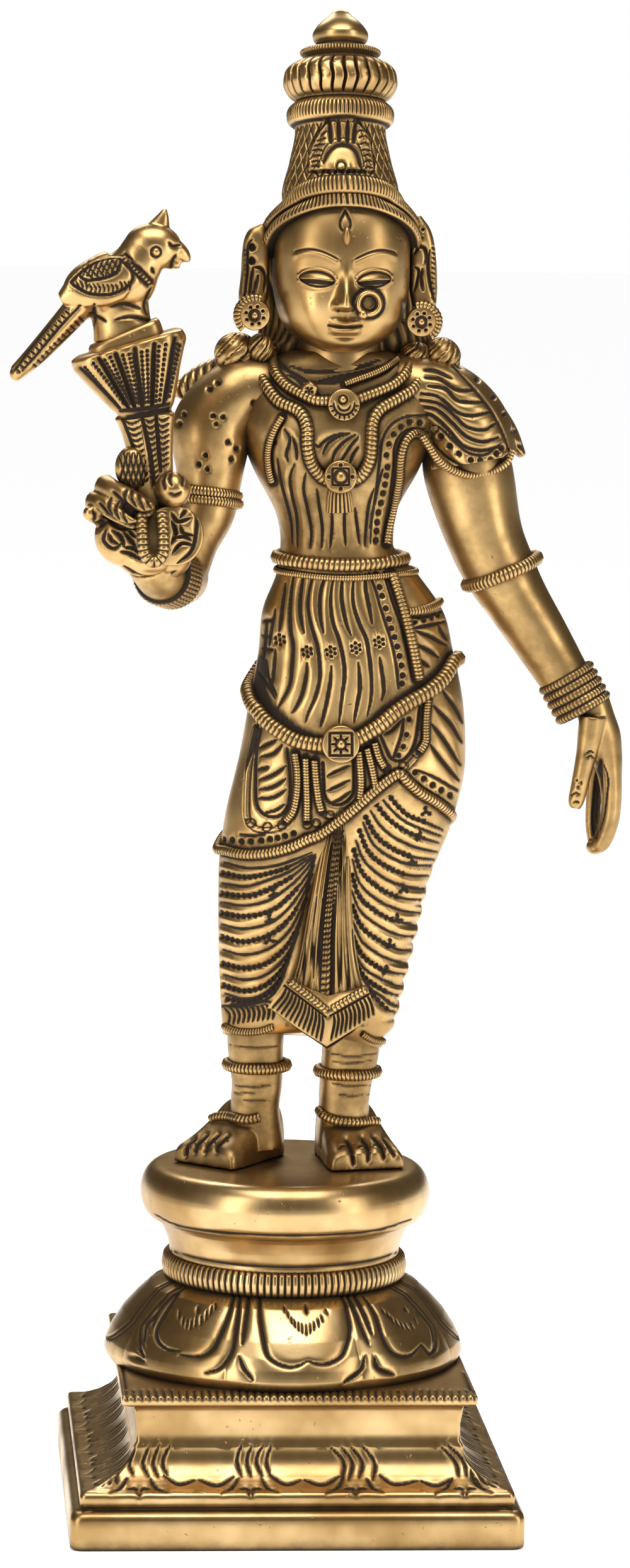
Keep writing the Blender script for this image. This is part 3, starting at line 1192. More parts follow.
def make_skirt():
    grid, angle, _ = body_zone(BELT, APRON_HEM, above=0.8, below=0.8)
    grid, dirt = back_pleats(grid, angle)

    def chase(relief):
        relief.beds([(HEM_ROPE, HEM_SIZE), (drawn_at(SASH[0]), SASH_SIZE), (drawn_at(THIGH_ROPE), HEM_SIZE),
                     *((row, TAB_SIZE) for row in TAB_ROPES)])
        relief.lines(SKIRT_PLEATS, width=16, depth=0.4, dirt=0.2)
        relief.lines(SKIRT_PLEATS, width=7.6, depth=0.75)
        relief.flowers(SKIRT_FLOWERS)
        relief.lines(STRIP_EDGES, width=5, depth=0.5, taper=0.1)
        relief.dots(STRIP_DOTS, 5)
        relief.lines(HIP_LINES + LEFT_HIP_LINES + THIGH_LINES, width=7, depth=0.7)
        relief.dots(HIP_DOTS, 4)
        relief.lines(TAB_EDGES, width=6, depth=0.7, taper=0.1)
        relief.lines(TAB_STROKES, width=6, depth=0.6)
        for place in TAB_BOSSES:
            relief.boss(place, 5.8, 0.9)
        relief.dots(TAB_DOTS, 4.5)
        for bar in TAB_BARS:
            relief.ridge(bar, 7, 0.6)
        relief.lines(HEM_TOP, width=4.5, depth=0.5, taper=0.1)
        relief.dots(HEM_DOTS_R + HEM_DOTS_L, 5)
    cast("skirt", carved(grid, chase, dirt))


# Radius of the cords, in millimetres
SASH_SIZE, HEM_SIZE, TAB_SIZE = 1.75, 1.15, 0.85

HEM_ROPE = [
    (345, 1346), (383, 1355), (421, 1354), (460, 1345), (488, 1332), (512, 1322), (560, 1285), (600, 1250),
    (632, 1228), (645, 1238), (666, 1257), (681, 1266), (696, 1275), (711, 1287), (722, 1297)
]
LEG_LEFT = [
    [(352, 1368), (390, 1378), (434, 1375), (467, 1365), (495, 1354)],
    [(348, 1407), (390, 1412), (432, 1398), (462, 1385), (498, 1360)],
    [(348, 1442), (385, 1448), (429, 1440), (462, 1415), (490, 1385), (502, 1357)],
    [(349, 1486), (385, 1495), (429, 1484), (462, 1456), (484, 1420), (498, 1388)],
    [(351, 1536), (385, 1544), (424, 1536), (456, 1508), (476, 1470), (489, 1432)],
    [(352, 1574), (385, 1585), (418, 1577), (446, 1550), (462, 1514), (476, 1476)],
    [(363, 1594), (396, 1594), (424, 1586), (440, 1569), (454, 1541)]
]

LEG_RIGHT = [
    [(616, 1260), (632, 1279), (650, 1295), (676, 1305), (706, 1318)],
    [(600, 1275), (616, 1294), (638, 1311), (666, 1325), (700, 1336)],
    [(583, 1294), (600, 1322), (627, 1343), (660, 1356), (694, 1362)],
    [(575, 1310), (591, 1346), (622, 1368), (654, 1379), (690, 1379)],
    [(564, 1338), (578, 1371), (610, 1398), (646, 1412), (682, 1415)],
    [(560, 1365), (572, 1404), (605, 1432), (638, 1445), (671, 1449)],
    [(558, 1410), (572, 1442), (605, 1467), (638, 1481), (663, 1484)],
    [(560, 1454), (575, 1486), (605, 1508), (632, 1520), (655, 1521)],
    [(561, 1498), (575, 1525), (602, 1544), (627, 1552), (646, 1555)],
    [(566, 1536), (583, 1558), (608, 1574), (627, 1583), (638, 1586)],
    [(588, 1574), (605, 1591), (622, 1605), (632, 1608)]
]

HEM_STROKES = [[(356 + 8 * k, 1600 - k), (363 + 8 * k, 1611 - k), (361 + 8 * k, 1626 - k)] for k in range(10)]

HEM_CORDS = [[(355, 1628), (378, 1637), (410, 1637), (434, 1630)], [(574, 1640), (592, 1650), (608, 1652)]]

BEADED = 0.72  # share of a fold's length


def folds(relief, curves, count, bead):
    """Rounded folds along curves of the sheet, with beading along every other one"""
    for k, row in enumerate(between(curves, count)):
        relief.line(row, 19, 0.75, 0.2, taper=0.2)
        relief.line(row, 5.4, 0.7, taper=0.35)
        if k % 2 == bead:
            relief.dotted(row[:int(len(row) * BEADED)], 9.0, 4.5, 1.0)


def make_drape():
    grid, angle, z = body_zone(APRON_HEM, SKIRT_HEM, above=0.8)
    lower = step01(150, 130, z)
    front = grid[..., 1] < 0
    x = grid[..., 0]
    cleft = np.exp(-((x - 6.6) / 3.6) ** 2) * lower
    grid[..., 1] += np.where(front, 4.2 * cleft, -2.0 * np.exp(-((x - 6) / 3) ** 2) * lower)
    right = np.clip(np.cos(angle), 0, 1) ** 3
    scallop = np.abs(np.sin((z - 104) / 4.3 * np.pi))
    grid[..., 0] += right * ((scallop - 0.5) * 0.8 * lower - 1.8 * step01(108, 102, z))
    swag = np.abs(np.cos((z - 104 + 6 * np.abs(np.cos(angle)) ** 2) / 6.4 * np.pi))
    behind = np.clip(np.sin(angle) * 2, 0, 1)
    grid = sunk(grid, behind * (0.9 * swag ** 2 + 0.4 * swag ** 12))
    dirt = np.maximum(behind * swag ** 14, 0.12)

    def chase(relief):
        relief.beds([(HEM_ROPE, HEM_SIZE)])
        folds(relief, LEG_LEFT, 15, 1)
        folds(relief, LEG_RIGHT, 19, 0)
        relief.flowers(RIGHT_FLOWERS + LEFT_FLOWERS, 6.5, 3.6, 3)
        relief.lines(HEM_STROKES, width=4.6, depth=0.6)
        relief.line([(352, 1596), (385, 1597), (424, 1590), (440, 1600)], 4.5, 0.5, taper=0.1)
        relief.dots(HEM_DOTS_R, 5)
        relief.lines(HEM_TOP[1:], width=4.5, depth=0.5, taper=0.1)
    mesh = mesh_from("leg_drape", *carved(grid, chase, dirt))
    cords("hem_cords", [(laid_on(mesh, row, 0.3)[::3], 0.85, False) for row in HEM_CORDS])
    piece("leg_drape", mesh, cast_brass(), "figure")


PANEL = np.array([(157, 9.6, 1.6), (146, 8.6, 3.4), (134, 7.8, 4.8), (122, 7.4, 6.6), (113, 7.2, 9.2)])
PANEL_TOP, PANEL_FOOT = 157, 108.5


def panel_front(z):
    return -(11.6 + (156 - z) * 0.06) - 1.6


def make_panel():
    share = np.linspace(0, 1, 150)[:, None]
    across = np.linspace(-1, 1, 130)
    z = PANEL_TOP * (1 - share) + PANEL_FOOT * share + 0 * across
    middle, half = columns(PANEL, z)
    fold = 0.5 * np.abs(np.cos(across * 4.2 * np.pi)) ** 1.5 * step01(1, 0.8, np.abs(across))
    y = panel_front(z) - fold + 1.6 * np.abs(across) ** 4
    face = np.stack([middle + half * across, y, z], axis=-1)
    behind = np.stack([middle + half * across * 0.96, np.full_like(z, -6.0), z], axis=-1)[:, ::-6]
    grid = np.concatenate([face, behind], axis=1)

    def chase(relief):
        relief.lines(PANEL_LINES, width=4.4, depth=0.6)
        relief.lines(PANEL_EDGES, width=4.4, depth=0.5)
        relief.lines([shifted(PANEL_LADDER, side, 0) for side in (-9, 9)], width=4, depth=0.5, taper=0)
        for a, b in zip(PANEL_LADDER[:-1], PANEL_LADDER[1:]):
            for part in np.linspace(0, 1, 5, endpoint=False):
                x, y = np.array(a) * (1 - part) + np.array(b) * part
                relief.line([(x - 8, y + 2), (x, y + 1), (x + 8, y - 2)], 3.4, 0.45, taper=0)
    cast("panel", carved(grid, chase), arrow_plate())
    paths = [(seen(row, lambda x, z: panel_front(108) - 2.0), 1.0, False) for row in ARROW_ROPES]
    cords("panel_ropes", paths, closer=1.3)


def arrow_plate():
    """The plate at the panel's foot, pointed like an arrow and chased with curved strokes"""
    upper = np.array([(456, 1554), (488, 1578), (520, 1603), (552, 1584), (583, 1566)])
    lower = np.array([(424, 1600), (472, 1636), (520, 1667), (560, 1640), (598, 1610)])
    along = np.linspace(0, len(upper) - 1, 150)
    rows = []
    for part in np.linspace(0, 1, 76):
        line = upper * (1 - part) + lower * part
        lift = 0.5 * max(math.sin(math.pi * part), 0.0) ** 0.4
        front = [off_sheet(place, panel_front(107) - 1.2 - lift)
                 for place in zip(*(np.interp(along, range(len(line)), line[:, k]) for k in (0, 1)))]
        rows.append(front + [p + (0, 3.4, 0) for p in front[::-5]])

    def chase(relief):
        relief.lines(strokes(12, ((455, 1568), (512, 1612)), ((448, 1582), (513, 1626)), ((433, 1599), (509, 1651))),
                     width=4.6, depth=0.6, taper=0.3)
        relief.lines(strokes(10, ((530, 1611), (583, 1580)), ((531, 1625), (590, 1594)), ((526, 1649), (593, 1610))),
                     width=4.6, depth=0.6, taper=0.3)
        relief.lines(ARROW_RIMS, width=4, depth=0.5, taper=0)
        relief.lines([[(452, 1564), (484, 1588), (518, 1614)], [(524, 1612), (556, 1594), (588, 1576)]],
                     width=3.6, depth=0.4, taper=0)
    return carved(np.array(rows), chase)


# Head and face, headbands and crown
HEAD = np.array([(256.2, 5.4, 10.2, 1), (257.4, 7.6, 11.8, 1.6), (258.6, 9.6, 12.9, 3), (262, 12.8, 14.1, 7),
                 (267, 14.4, 14.8, 10.5), (273, 15.0, 15.0, 12.5), (280, 14.8, 14.6, 13), (284, 14, 13.6, 13),
                 (289, 11, 11.6, 11) ])
HEAD_MIDDLE = 9.0


def on_head(angle, z, proud=0.0):
    across, front, back = columns(HEAD, z)
    depth = np.where(np.sin(angle) < 0, front, back) + proud
    return np.stack([HEAD_MIDDLE + (across + proud) * power(np.cos(angle), 0.84), depth * power(np.sin(angle), 0.84),
                     z + 0 * angle], axis=-1)


# Heights of the face's parts, and distances from its middle line
EYES, BROWS, NOSE_FOOT, MOUTH, CHIN = 272.0, 275.5, 265.3, 261.75, 258.0
EYE_OUT, EYE_HALF, MOUTH_HALF = 6.2, 3.7, 3.7


def face_relief(side, z):
    """How far a calm, plain face stands out at a distance from its middle line, and its dark cut lines"""
    beside = np.abs(side)
    out = -0.9 * rounded(beside - EYE_OUT, 4.0) * rounded(z - EYES - 1.6, 2.6)
    out += 0.5 * rounded(beside - 7.4, 3.6) * rounded(z - 265.6, 3.4)
    bridge = step01(277.5, 267.2, z) * step01(264.9, 266.2, z)
    out += (0.7 + 2.5 * step01(276.5, 266.8, z)) * bridge * rounded(side, 1.25 + 0.5 * step01(274, 267, z))
    out += 1.2 * rounded(beside - 2.0, 1.0) * rounded(z - NOSE_FOOT - 1.1, 1.1)
    brow_height = BROWS + 2.1 * np.sin(np.clip((beside - 1.6) / 10.0, 0, 1) * np.pi * 0.8)
    brow = rounded(z - brow_height, 0.75) * step01(1.0, 2.2, beside) * step01(11.8, 10.4, beside)
    out += 0.45 * brow
    across = (beside - EYE_OUT) / EYE_HALF
    lid = 1.55 * np.sqrt(np.clip(1 - across ** 2, 0, 1)) ** 1.3
    eye_z = EYES + 0.25 * across
    inside = np.clip(1 - across ** 2, 0, 1) * rounded((z - eye_z) / np.maximum(lid, 0.3), 0.95)
    out += 1.15 * inside
    edge = rounded(np.abs(z - eye_z) - lid, 0.28) * step01(1.12, 0.98, np.abs(across))
    rim = rounded(np.abs(z - eye_z) - lid - 0.6, 0.34) * step01(1.2, 1.0, np.abs(across))
    out += 0.35 * rim - 0.3 * edge
    slit = 0.55 * np.sqrt(np.clip(1 - across ** 2, 0, 1))
    ring = step01(1.15, 0.75, np.abs(z - eye_z + 0.55) / np.maximum(slit, 0.08)) * step01(1.02, 0.96, np.abs(across))
    out -= 0.3 * ring
    part = np.clip(1 - (side / MOUTH_HALF) ** 2, 0, 1)
    meet = MOUTH + 0.3 * (side / MOUTH_HALF) ** 2
    out += 1.2 * part * rounded(z - meet - 0.85 + 0.2 * rounded(side, 0.8), 0.75)
    out += 1.25 * part ** 0.8 * rounded(z - meet + 0.95, 0.85)
    line = rounded(z - meet, 0.24) * step01(1.1, 0.95, beside / MOUTH_HALF)
    out -= 0.5 * line
    out -= 0.25 * rounded(side, 0.6) * rounded(z - 264.1, 0.8)
    out += 1.1 * rounded(side, 2.8) * rounded(z - CHIN, 1.5)
    out -= 0.35 * rounded(side, 3.0) * rounded(z - CHIN - 1.6, 0.6)
    nostril = rounded(beside - 1.6, 0.5) * rounded(z - NOSE_FOOT, 0.4)
    brow_cut = rounded(z - brow_height - 0.8, 0.3) * step01(1.0, 2.4, beside) * step01(11.6, 10.6, beside)
    out -= 0.3 * nostril + 0.3 * brow_cut
    dark = np.maximum.reduce([edge, ring, line, nostril, brow_cut])
    return out, dark


NOSE_RING = np.array([14.0, -16.2, 267.0])


def make_head():
    angle = turns_round(300, 60)
    z = np.concatenate([np.linspace(289, 279, 30, endpoint=False), np.linspace(279, 256.2, 130)])[:, None]
    grid = on_head(angle + 0 * z, z + 0 * angle)
    side = grid[..., 0] - HEAD_MIDDLE
    out, dark = face_relief(side, grid[..., 2])
    facing = step01(0.1, -0.35, np.sin(angle))
    grid[..., 1] -= out * facing
    neck = tube([(9, -0.5, 246, 9.8, 8.8), (9, -0.5, 252, 9.2, 8.4), (9, -0.3, 257, 8.9, 8.2), (9, 0, 264, 9.2, 8.6)],
                step=0.6, around=72)
    hair = tube([(9, 8, 291, 9, 4), (9, 8, 288, 13, 7), (9, 8, 278, 16.4, 6.4), (9, 7, 268, 17.4, 6),
                 (9, 6, 261.6, 17.6, 5.6), (9.4, 5, 257.4, 20.6, 4.8), (9.4, 5, 252, 22.2, 4)], step=0.5, around=150)
    turn = turns(150)
    row = np.linspace(0, 1, len(hair))[:, None]
    lock = np.abs(np.sin(turn * 17 + 2.2 * np.sin(row * 9 + turn * 3))) ** 4
    hair = sunk(hair, 0.55 * lock)

    def chase(relief):
        relief.line([(548, 333), (540, 350), (541, 361), (548, 367), (555, 361), (556, 350), (548, 333)], 4.5, 0.4,
                    taper=0)
        middle = on_sheet(NOSE_RING)
        relief.line(arc(middle, 24), 6.5, 0.5, taper=0)
        relief.line(arc(middle, 11), 4, 0.3, taper=0)
    points, faces, _ = plain(hair)
    stained = np.concatenate([(0.3 + 0.6 * lock).ravel(), [0, 0]])
    cast("head", carved(grid, chase, dark * facing), plain(neck), (points, faces, stained))


def crumpled(centre, radii, gathers=5, twist=2.0):
    """A lump of gathered cloth"""
    grid = egg(centre, radii, 84, 56)
    down = np.linspace(0, np.pi, 56)[:, None]
    turn = turns(84)
    wave = np.abs(np.sin(turn * gathers / 2 + twist * down + 0.6 * np.sin(3 * turn + 2 * down)))
    small = np.abs(np.sin(turn * gathers + 5 * down + 1.3))
    low = np.maximum(step01(0.34, 0.06, wave), 0.7 * step01(0.25, 0.02, small)) * np.sin(down)
    middle = np.asarray(centre, float)
    return carved(middle + (grid - middle) * (1 - 0.2 * low)[..., None], None, low)


def make_ears():
    left = tube([(-8.3, -0.4, 283.0, 0.8, 1.6), (-9.4, -0.8, 280.8, 2.5, 2.4), (-9.8, -1, 277, 3.0, 2.6),
                 (-9.9, -1.2, 272.6, 3.1, 2.6), (-10.3, -2, 268, 3.2, 2.6), (-10.6, -2.4, 265.4, 2.8, 2.4)],
                around=120, step=0.22, roundness=0.7)
    right = tube([(25.4, -0.5, 285.4, 0.9, 1.6), (26.2, -0.8, 282, 2.3, 2.4), (26.8, -1, 276, 2.9, 2.6),
                  (27.0, -1.4, 270, 3, 2.6), (27.2, -2, 266, 2.6, 2.4)], around=120, step=0.22, roundness=0.7)

    def chase_left(relief):
        relief.lines([[(400, 380), (392, 390), (391, 430), (386, 478)],
                      [(402, 424), (415, 426), (424, 440), (420, 462)], [(402, 424), (398, 446), (396, 474)],
                      [(410, 436), (405, 456), (400, 472)]], width=6, depth=0.9)
        relief.dots([(399, 392), (399, 414)], 6.5, 1.3)
        relief.lines([[(386, y), (392, y + 3)] for y in range(396, 484, 8)], width=3, depth=0.3)

    def chase_right(relief):
        relief.lines([[(657, 402), (664, 392), (674, 394), (678, 408), (674, 420)],
                      [(657, 424), (664, 430), (660, 450), (656, 462)],
                      [(683, 396), (680, 420), (683, 446), (690, 474)], [(672, 424), (668, 440), (672, 462)]],
                     width=6, depth=0.9)
        relief.dots([(664, 370), (669, 378), (666, 388), (671, 364)], 3, 0.5)
        relief.lines([[(685, y), (691, y + 2)] for y in range(392, 480, 8)], width=3, depth=0.3)
    cast("ears", carved(left, chase_left), carved(right, chase_right))


def disc(centre, normal, radius, thick, dome=0.4, around=72, rings=14):
    """A round plaque facing along a normal"""
    normal = unit(np.asarray(normal, float))
    across = unit(np.cross(normal, (0, 0, 1)))
    over = np.cross(across, normal)
    turn = turns(around)
    share = np.concatenate([np.linspace(0.04, 0.94, rings), [0.985, 1.0, 1.0]])
    lift = np.concatenate([dome * (1 - np.linspace(0.04, 0.94, rings) ** 2), [-0.1, -0.35, -thick]])
    flat = share[:, None, None] * radius * (np.cos(turn)[:, None] * across + np.sin(turn)[:, None] * over)
    return np.asarray(centre, float) + flat + lift[:, None, None] * normal


def make_earrings():
    parts, paths = [], []
    for place, radius, turned in (((404.4, 500.6), 3.3, (-0.9, 1.9)), ((669.1, 511.2), 3.2, (1.2, 4.1))):
        centre = off_sheet(place, -7.0)
        facing = unit(unit(EYE - centre) + np.array([0, 0, -0.1]))
        parts.append(carved(disc(centre, facing, radius, 3.4, 0.3, 100, 20), lambda r, p=place: (
            r.line(arc(p, 9, 16), 3.4, 0.35), r.boss(p, 5.5, 0.5),
            r.dots(arc(p, 14.5, 9, 0.3, 0.3 + 2 * math.pi)[:-1], 2.6, 0.6))))
        across = unit(np.cross(facing, (0, 0, 1)))
        over = np.cross(across, facing)
        angles = np.linspace(*turned, 14)
        paths.append(([centre - facing * 0.6 + (radius + 0.5) * (math.cos(a) * across + math.sin(a) * over)
                       for a in angles], 0.95, False))
    cast("earrings", *parts)
    cords("earring_rims", paths, closer=1.2)


CROWN_FOOT = np.array([8.7, 1.2, 287])
CROWN_LEAN = 0.187
CROWN = np.array([(-4, 12.2), (3, 12.8), (10, 11.2), (17.6, 9.9), (18.0, 10.6), (18.8, 11.5), (20.4, 11.8),
                  (21.9, 11.4), (22.9, 10.4), (23.4, 9.8), (24.6, 11.2), (27.4, 12.5), (29.8, 12.2), (31.6, 10.6),
                  (32.8, 8.2), (33.2, 7.6), (33.6, 8.4), (34.2, 8.9), (34.9, 8.4), (35.3, 6.2), (36.0, 5.2),
                  (37.0, 5.9), (38.2, 6.1), (39.6, 5.5), (41.0, 4.3), (42.0, 3.1), (42.8, 2.2), (43.5, 1.5),
                  (43.9, 0.5) ])


def on_crown(angle, radius, up):
    deep = radius * np.sin(angle)
    lean, back = math.cos(CROWN_LEAN), math.sin(CROWN_LEAN)
    return np.stack([radius * np.cos(angle), deep * lean + up * back, up * lean - deep * back], axis=-1) + CROWN_FOOT


def make_crown():
    angle = turns_round(290, 100)
    up = np.concatenate([np.linspace(-4, 17.6, 84, endpoint=False), np.linspace(17.6, 43.9, 104)])[:, None]
    radius = smooth(CROWN[:, 0], CROWN[:, 1], up)
    flute = np.abs(np.sin(angle * 14 + 0.25 * np.sin(up * 1.1)))
    fluting = step01(23.4, 24.6, up) * step01(33.0, 31.6, up)
    valley = step01(0.5, 0.05, flute)
    rib = np.abs(np.cos(angle * 40)) ** 7
    ribbed = step01(18.6, 19.4, up) * step01(22.4, 21.8, up) + step01(33.5, 33.9, up) * step01(35.0, 34.6, up)
    radius = radius - fluting * 1.3 * valley - ribbed * 0.4 * rib
    first = np.abs(np.sin(angle * 14 + up * 0.68 + 0.2 * np.sin(5 * angle)))
    second = np.abs(np.sin(angle * 14 - up * 0.68))
    lattice = np.maximum(rounded(first, 0.22), rounded(second, 0.2))
    drum = step01(1.6, 2.4, up) * step01(17.6, 17.0, up)
    net = 0.42 * lattice * drum
    radius = radius - net
    seam = rounded(up - 17.9, 0.35) + rounded(up - 23.2, 0.4) + rounded(up - 33.1, 0.3) + rounded(up - 36.0, 0.4)
    dirt = np.maximum.reduce([fluting * step01(0.4, 0.1, flute), ribbed * rib, 1.1 * lattice * drum,
                              seam + 0 * angle])
    grid = on_crown(angle + 0 * up, radius, up + 0 * angle)
    arch = [*CROWN_ARCH[0], *CROWN_ARCH[1]]
    calm = Relief(grid.reshape(-1, 3), grid_normals(grid).reshape(-1, 3))
    calm.plate(arch, 1.0, 3)
    within = calm.raised.reshape(up.shape[0], -1) / max(look().chase, 0.01)
    smooth_drum = on_crown(angle + 0 * up, radius + net, up + 0 * angle)
    grid = grid * (1 - within[..., None]) + within[..., None] * smooth_drum
    dirt = dirt * (1 - within)

    def chase(relief):
        relief.plate(arch, 0.6, 3)
        relief.line(arch, 4, 0.4)
        relief.line(CROWN_RIM[0], 6, 0.7)
        relief.ridge([(x, y - 7) for x, y in CROWN_RIM[0]], 6, 0.5)
        relief.boss((541.5, 265), 6, 0.6)
        relief.lines(CROWN_GOUGES, width=6.5, depth=0.9, taper=0.3)
        relief.lines(CROWN_LEAVES, width=3.6, depth=0.5)
    cast("crown", carved(grid, chase, dirt))


def make_headbands():
    parts = []
    turn = turns(560)
    forward = np.clip(-np.sin(turn), 0, 1)
    for side, rise, bend, half, proud, ribs, dark in (
            (277.4, 12.0, 0.7, 1.8, 1.6, 50, 1.0), (281.8, 10.8, 0.6, 2.1, 2.1, 52, 0.85)):
        z = side + rise * forward ** bend
        rows, dirt = [], []
        for part in np.linspace(-1, 1, 13):
            flange = 1.0 if part < -0.62 else 0.0
            bulge = math.sqrt(max(0.0, 1 - part ** 2 * 0.92)) * 1.7
            rib = np.abs(np.cos(turn * ribs + 0.5 * part)) ** 3.5 * (1 - flange) * (abs(part) < 0.95)
            rows.append(on_head(turn, z + half * part, proud + bulge - 0.42 * rib - 0.6))
            dirt.append(rib * dark if abs(part) < 0.95 else np.ones_like(turn))
        for part in (0.6, -0.6):
            rows.append(on_head(turn, z + half * part, -1.5))
            dirt.append(np.ones_like(turn))
        parts.append(closed_ring(np.array(rows), np.array(dirt)))
    cast("headbands", *parts, whole=True)


# Arms and hands
def finger(joints, radius):
    """A round finger through its joints, a little thinner at each"""
    thin = radius * (1 - 0.08 * np.arange(len(joints)))
    stations = [(*joint, r, r) for joint, r in zip(joints, thin)]
    rows = tube(stations, (0.3, 1, 0.2), 20, 0.35)
    last = np.asarray(joints[-1], float)
    way = unit(last - np.asarray(joints[-2], float))
    tip = [last + way * thin[-1] * math.sin(a) + (rows[-1] - rows[-1].mean(0)) * math.cos(a)
           for a in (0.35, 0.7, 1.0, 1.25, 1.45)]
    return plain(np.concatenate([rows, np.array(tip)]))


def bangles(name, start, end, count, size, towards):
    """A ribbed sleeve of bangles"""
    start, end = np.asarray(start, float), np.asarray(end, float)
    share = np.linspace(0, 1, 12 * count + 1)
    middle = start + share[:, None] * (end - start)
    wave = np.abs(np.sin(share * math.pi * count))
    stations = np.column_stack([middle, size[0] + 0.8 * wave ** 0.6 - 0.5, size[1] + 0.8 * wave ** 0.6 - 0.5])
    rows = tube(stations, towards, 130, 0.16)
    run = np.linspace(0, 1, len(rows))
    groove = np.abs(np.cos(run * math.pi * count)) ** 14
    rib = np.abs(np.cos(turns(130) * 22)) ** 4
    rows = sunk(rows, 0.3 * rib[None, :] * (1 - groove[:, None]))
    points, faces = capped(rows)
    dirt = np.maximum(groove[:, None], rib[None, :] * 0.9)
    cast(name, (points, outward(points, faces), np.concatenate([dirt.ravel(), [1, 1]])))


ARM_TONE = 0.24  # patina all over the arms


def make_raised_arm():
    upper = tube([(-6, 0, 247.6, 6.8, 7.6), (-10, 0, 247.4, 7.6, 8), (-15, 0, 244.5, 8.2, 8.8),
                  (-19, -0.5, 238, 8.9, 8.8), (-19.4, -1, 228, 7.2, 7.6), (-20.4, -1.6, 221, 6.8, 7.2),
                  (-23.2, -2.6, 214, 5.9, 6.6), (-25.2, -3.6, 207.6, 5.6, 6.2), (-26, -4, 203.8, 3.6, 4.6)],
                 around=72)
    fore = tube([(-24, 2, 206, 4.4, 4.4), (-25.2, -3, 206.2, 5.8, 6), (-28, -14, 207.2, 5.6, 6),
                 (-30.4, -23, 208.4, 5.6, 5.8), (-33.5, -28, 212.6, 5.6, 5.6)], (0, 0, 1), around=64)
    mesh = fused([plain(upper), plain(fore), plain(egg((-25.4, -3.4, 206.2), (5.6, 6, 5)))], 0.42, 6)

    def chase(relief):
        relief.dirt += ARM_TONE
        relief.dots(ARM_DOTS, 4.5, 0.7)
    chased("raised_arm", mesh, chase)
    bangles("raised_bangles", (-27.6, -14.5, 207), (-30.6, -24.0, 208.8), 4, (6.6, 6.8), (0, 0, 1))


def make_raised_hand():
    parts = [plain(egg((-38.6, -29.8, 217.2), (6.8, 5.4, 6.6))), plain(egg((-34.2, -29.5, 212.8), (6.4, 5.4, 4.4))),
             plain(egg((-30.4, -27.5, 212.6), (6.0, 5.2, 5.0)))]
    parts.append(finger([(-43.4, -29, 228.0), (-41.6, -32.4, 227.2), (-38.2, -35.8, 225.8), (-34.6, -37, 223.8)],
                        2.5))
    parts.append(finger([(-45.6, -29, 224.6), (-43.6, -32.4, 224.2), (-40.8, -35.4, 222.6), (-37.6, -36.4, 221.0)],
                        2.3))
    parts.append(finger([(-42.6, -29, 219.6), (-44.4, -31, 221.2), (-46.4, -32.0, 222.2)], 1.9))
    mesh = fused(parts, 0.32, 1)

    def chase(relief):
        relief.lines(FINGER_RINGS, width=5, depth=0.55)
        relief.lines(FINGER_GAPS, width=8, depth=1.2, taper=0.2)
        relief.lines(LEAF_LINES, width=7, depth=0.9)
    chased("raised_hand", mesh, chase)
    rosette = disc((-28.6, -35.0, 217.8), (0.1, -1, 0.05), 6.5, 5.5, 0.8, 130, 30)

    def star(relief):
        relief.lines(STAR_LINES, width=7, depth=0.9, taper=0.8)
    crossed = carved(egg((-37.6, -31.4, 232.0), (3.6, 3.4, 4.6), 90, 60),
                     lambda r: r.lines([[(x, 718 + a), (x + 16, 770 - a)] for a in (0, 52)
                                        for x in range(186, 232, 9)], width=4, depth=0.5, straight=True))
    knob = carved(egg((-28.9, -33, 227.4), (3.9, 3.8, 3.9), 60, 40),
                  lambda r: r.lines([[(262, 752), (257, 764), (262, 777)], [(272, 748), (268, 760), (274, 772)],
                                     [(284, 750), (292, 758), (290, 770)], [(268, 782), (278, 786), (288, 781)]],
                                    width=5, depth=0.6))
    cast("lotus_stem", carved(rosette, star), crossed, knob)
    bent = [(-35.6, -36.2, 222.6), (-35.4, -38.0, 218), (-35.0, -38.6, 214.4), (-33.2, -38.8, 212.4),
            (-31.2, -38.6, 214.0), (-31.0, -38.2, 218), (-31.4, -36.6, 223)]
    cords("stem_cord", [(bent, 1.35, False)], closer=1.15)


LOTUS = np.array([(219, -34, 3, 3), (224, -33.6, 3.6, 3.2), (229.4, -33.2, 4.4, 3.6), (236, -33.8, 5, 4.2),
                  (241.6, -34.6, 6, 4.8), (242.8, -34.8, 6.4, 5.1), (243.6, -34.9, 5.7, 4.6), (245, -35.3, 6.6, 5),
                  (248, -36.2, 8.2, 6), (251, -37.1, 9.6, 6.8), (254, -37.8, 11, 7.8), (256.6, -38.3, 12, 8.4),
                  (258.0, -38.8, 11.8, 8.2), (258.6, -38.8, 10.6, 7.2) ])


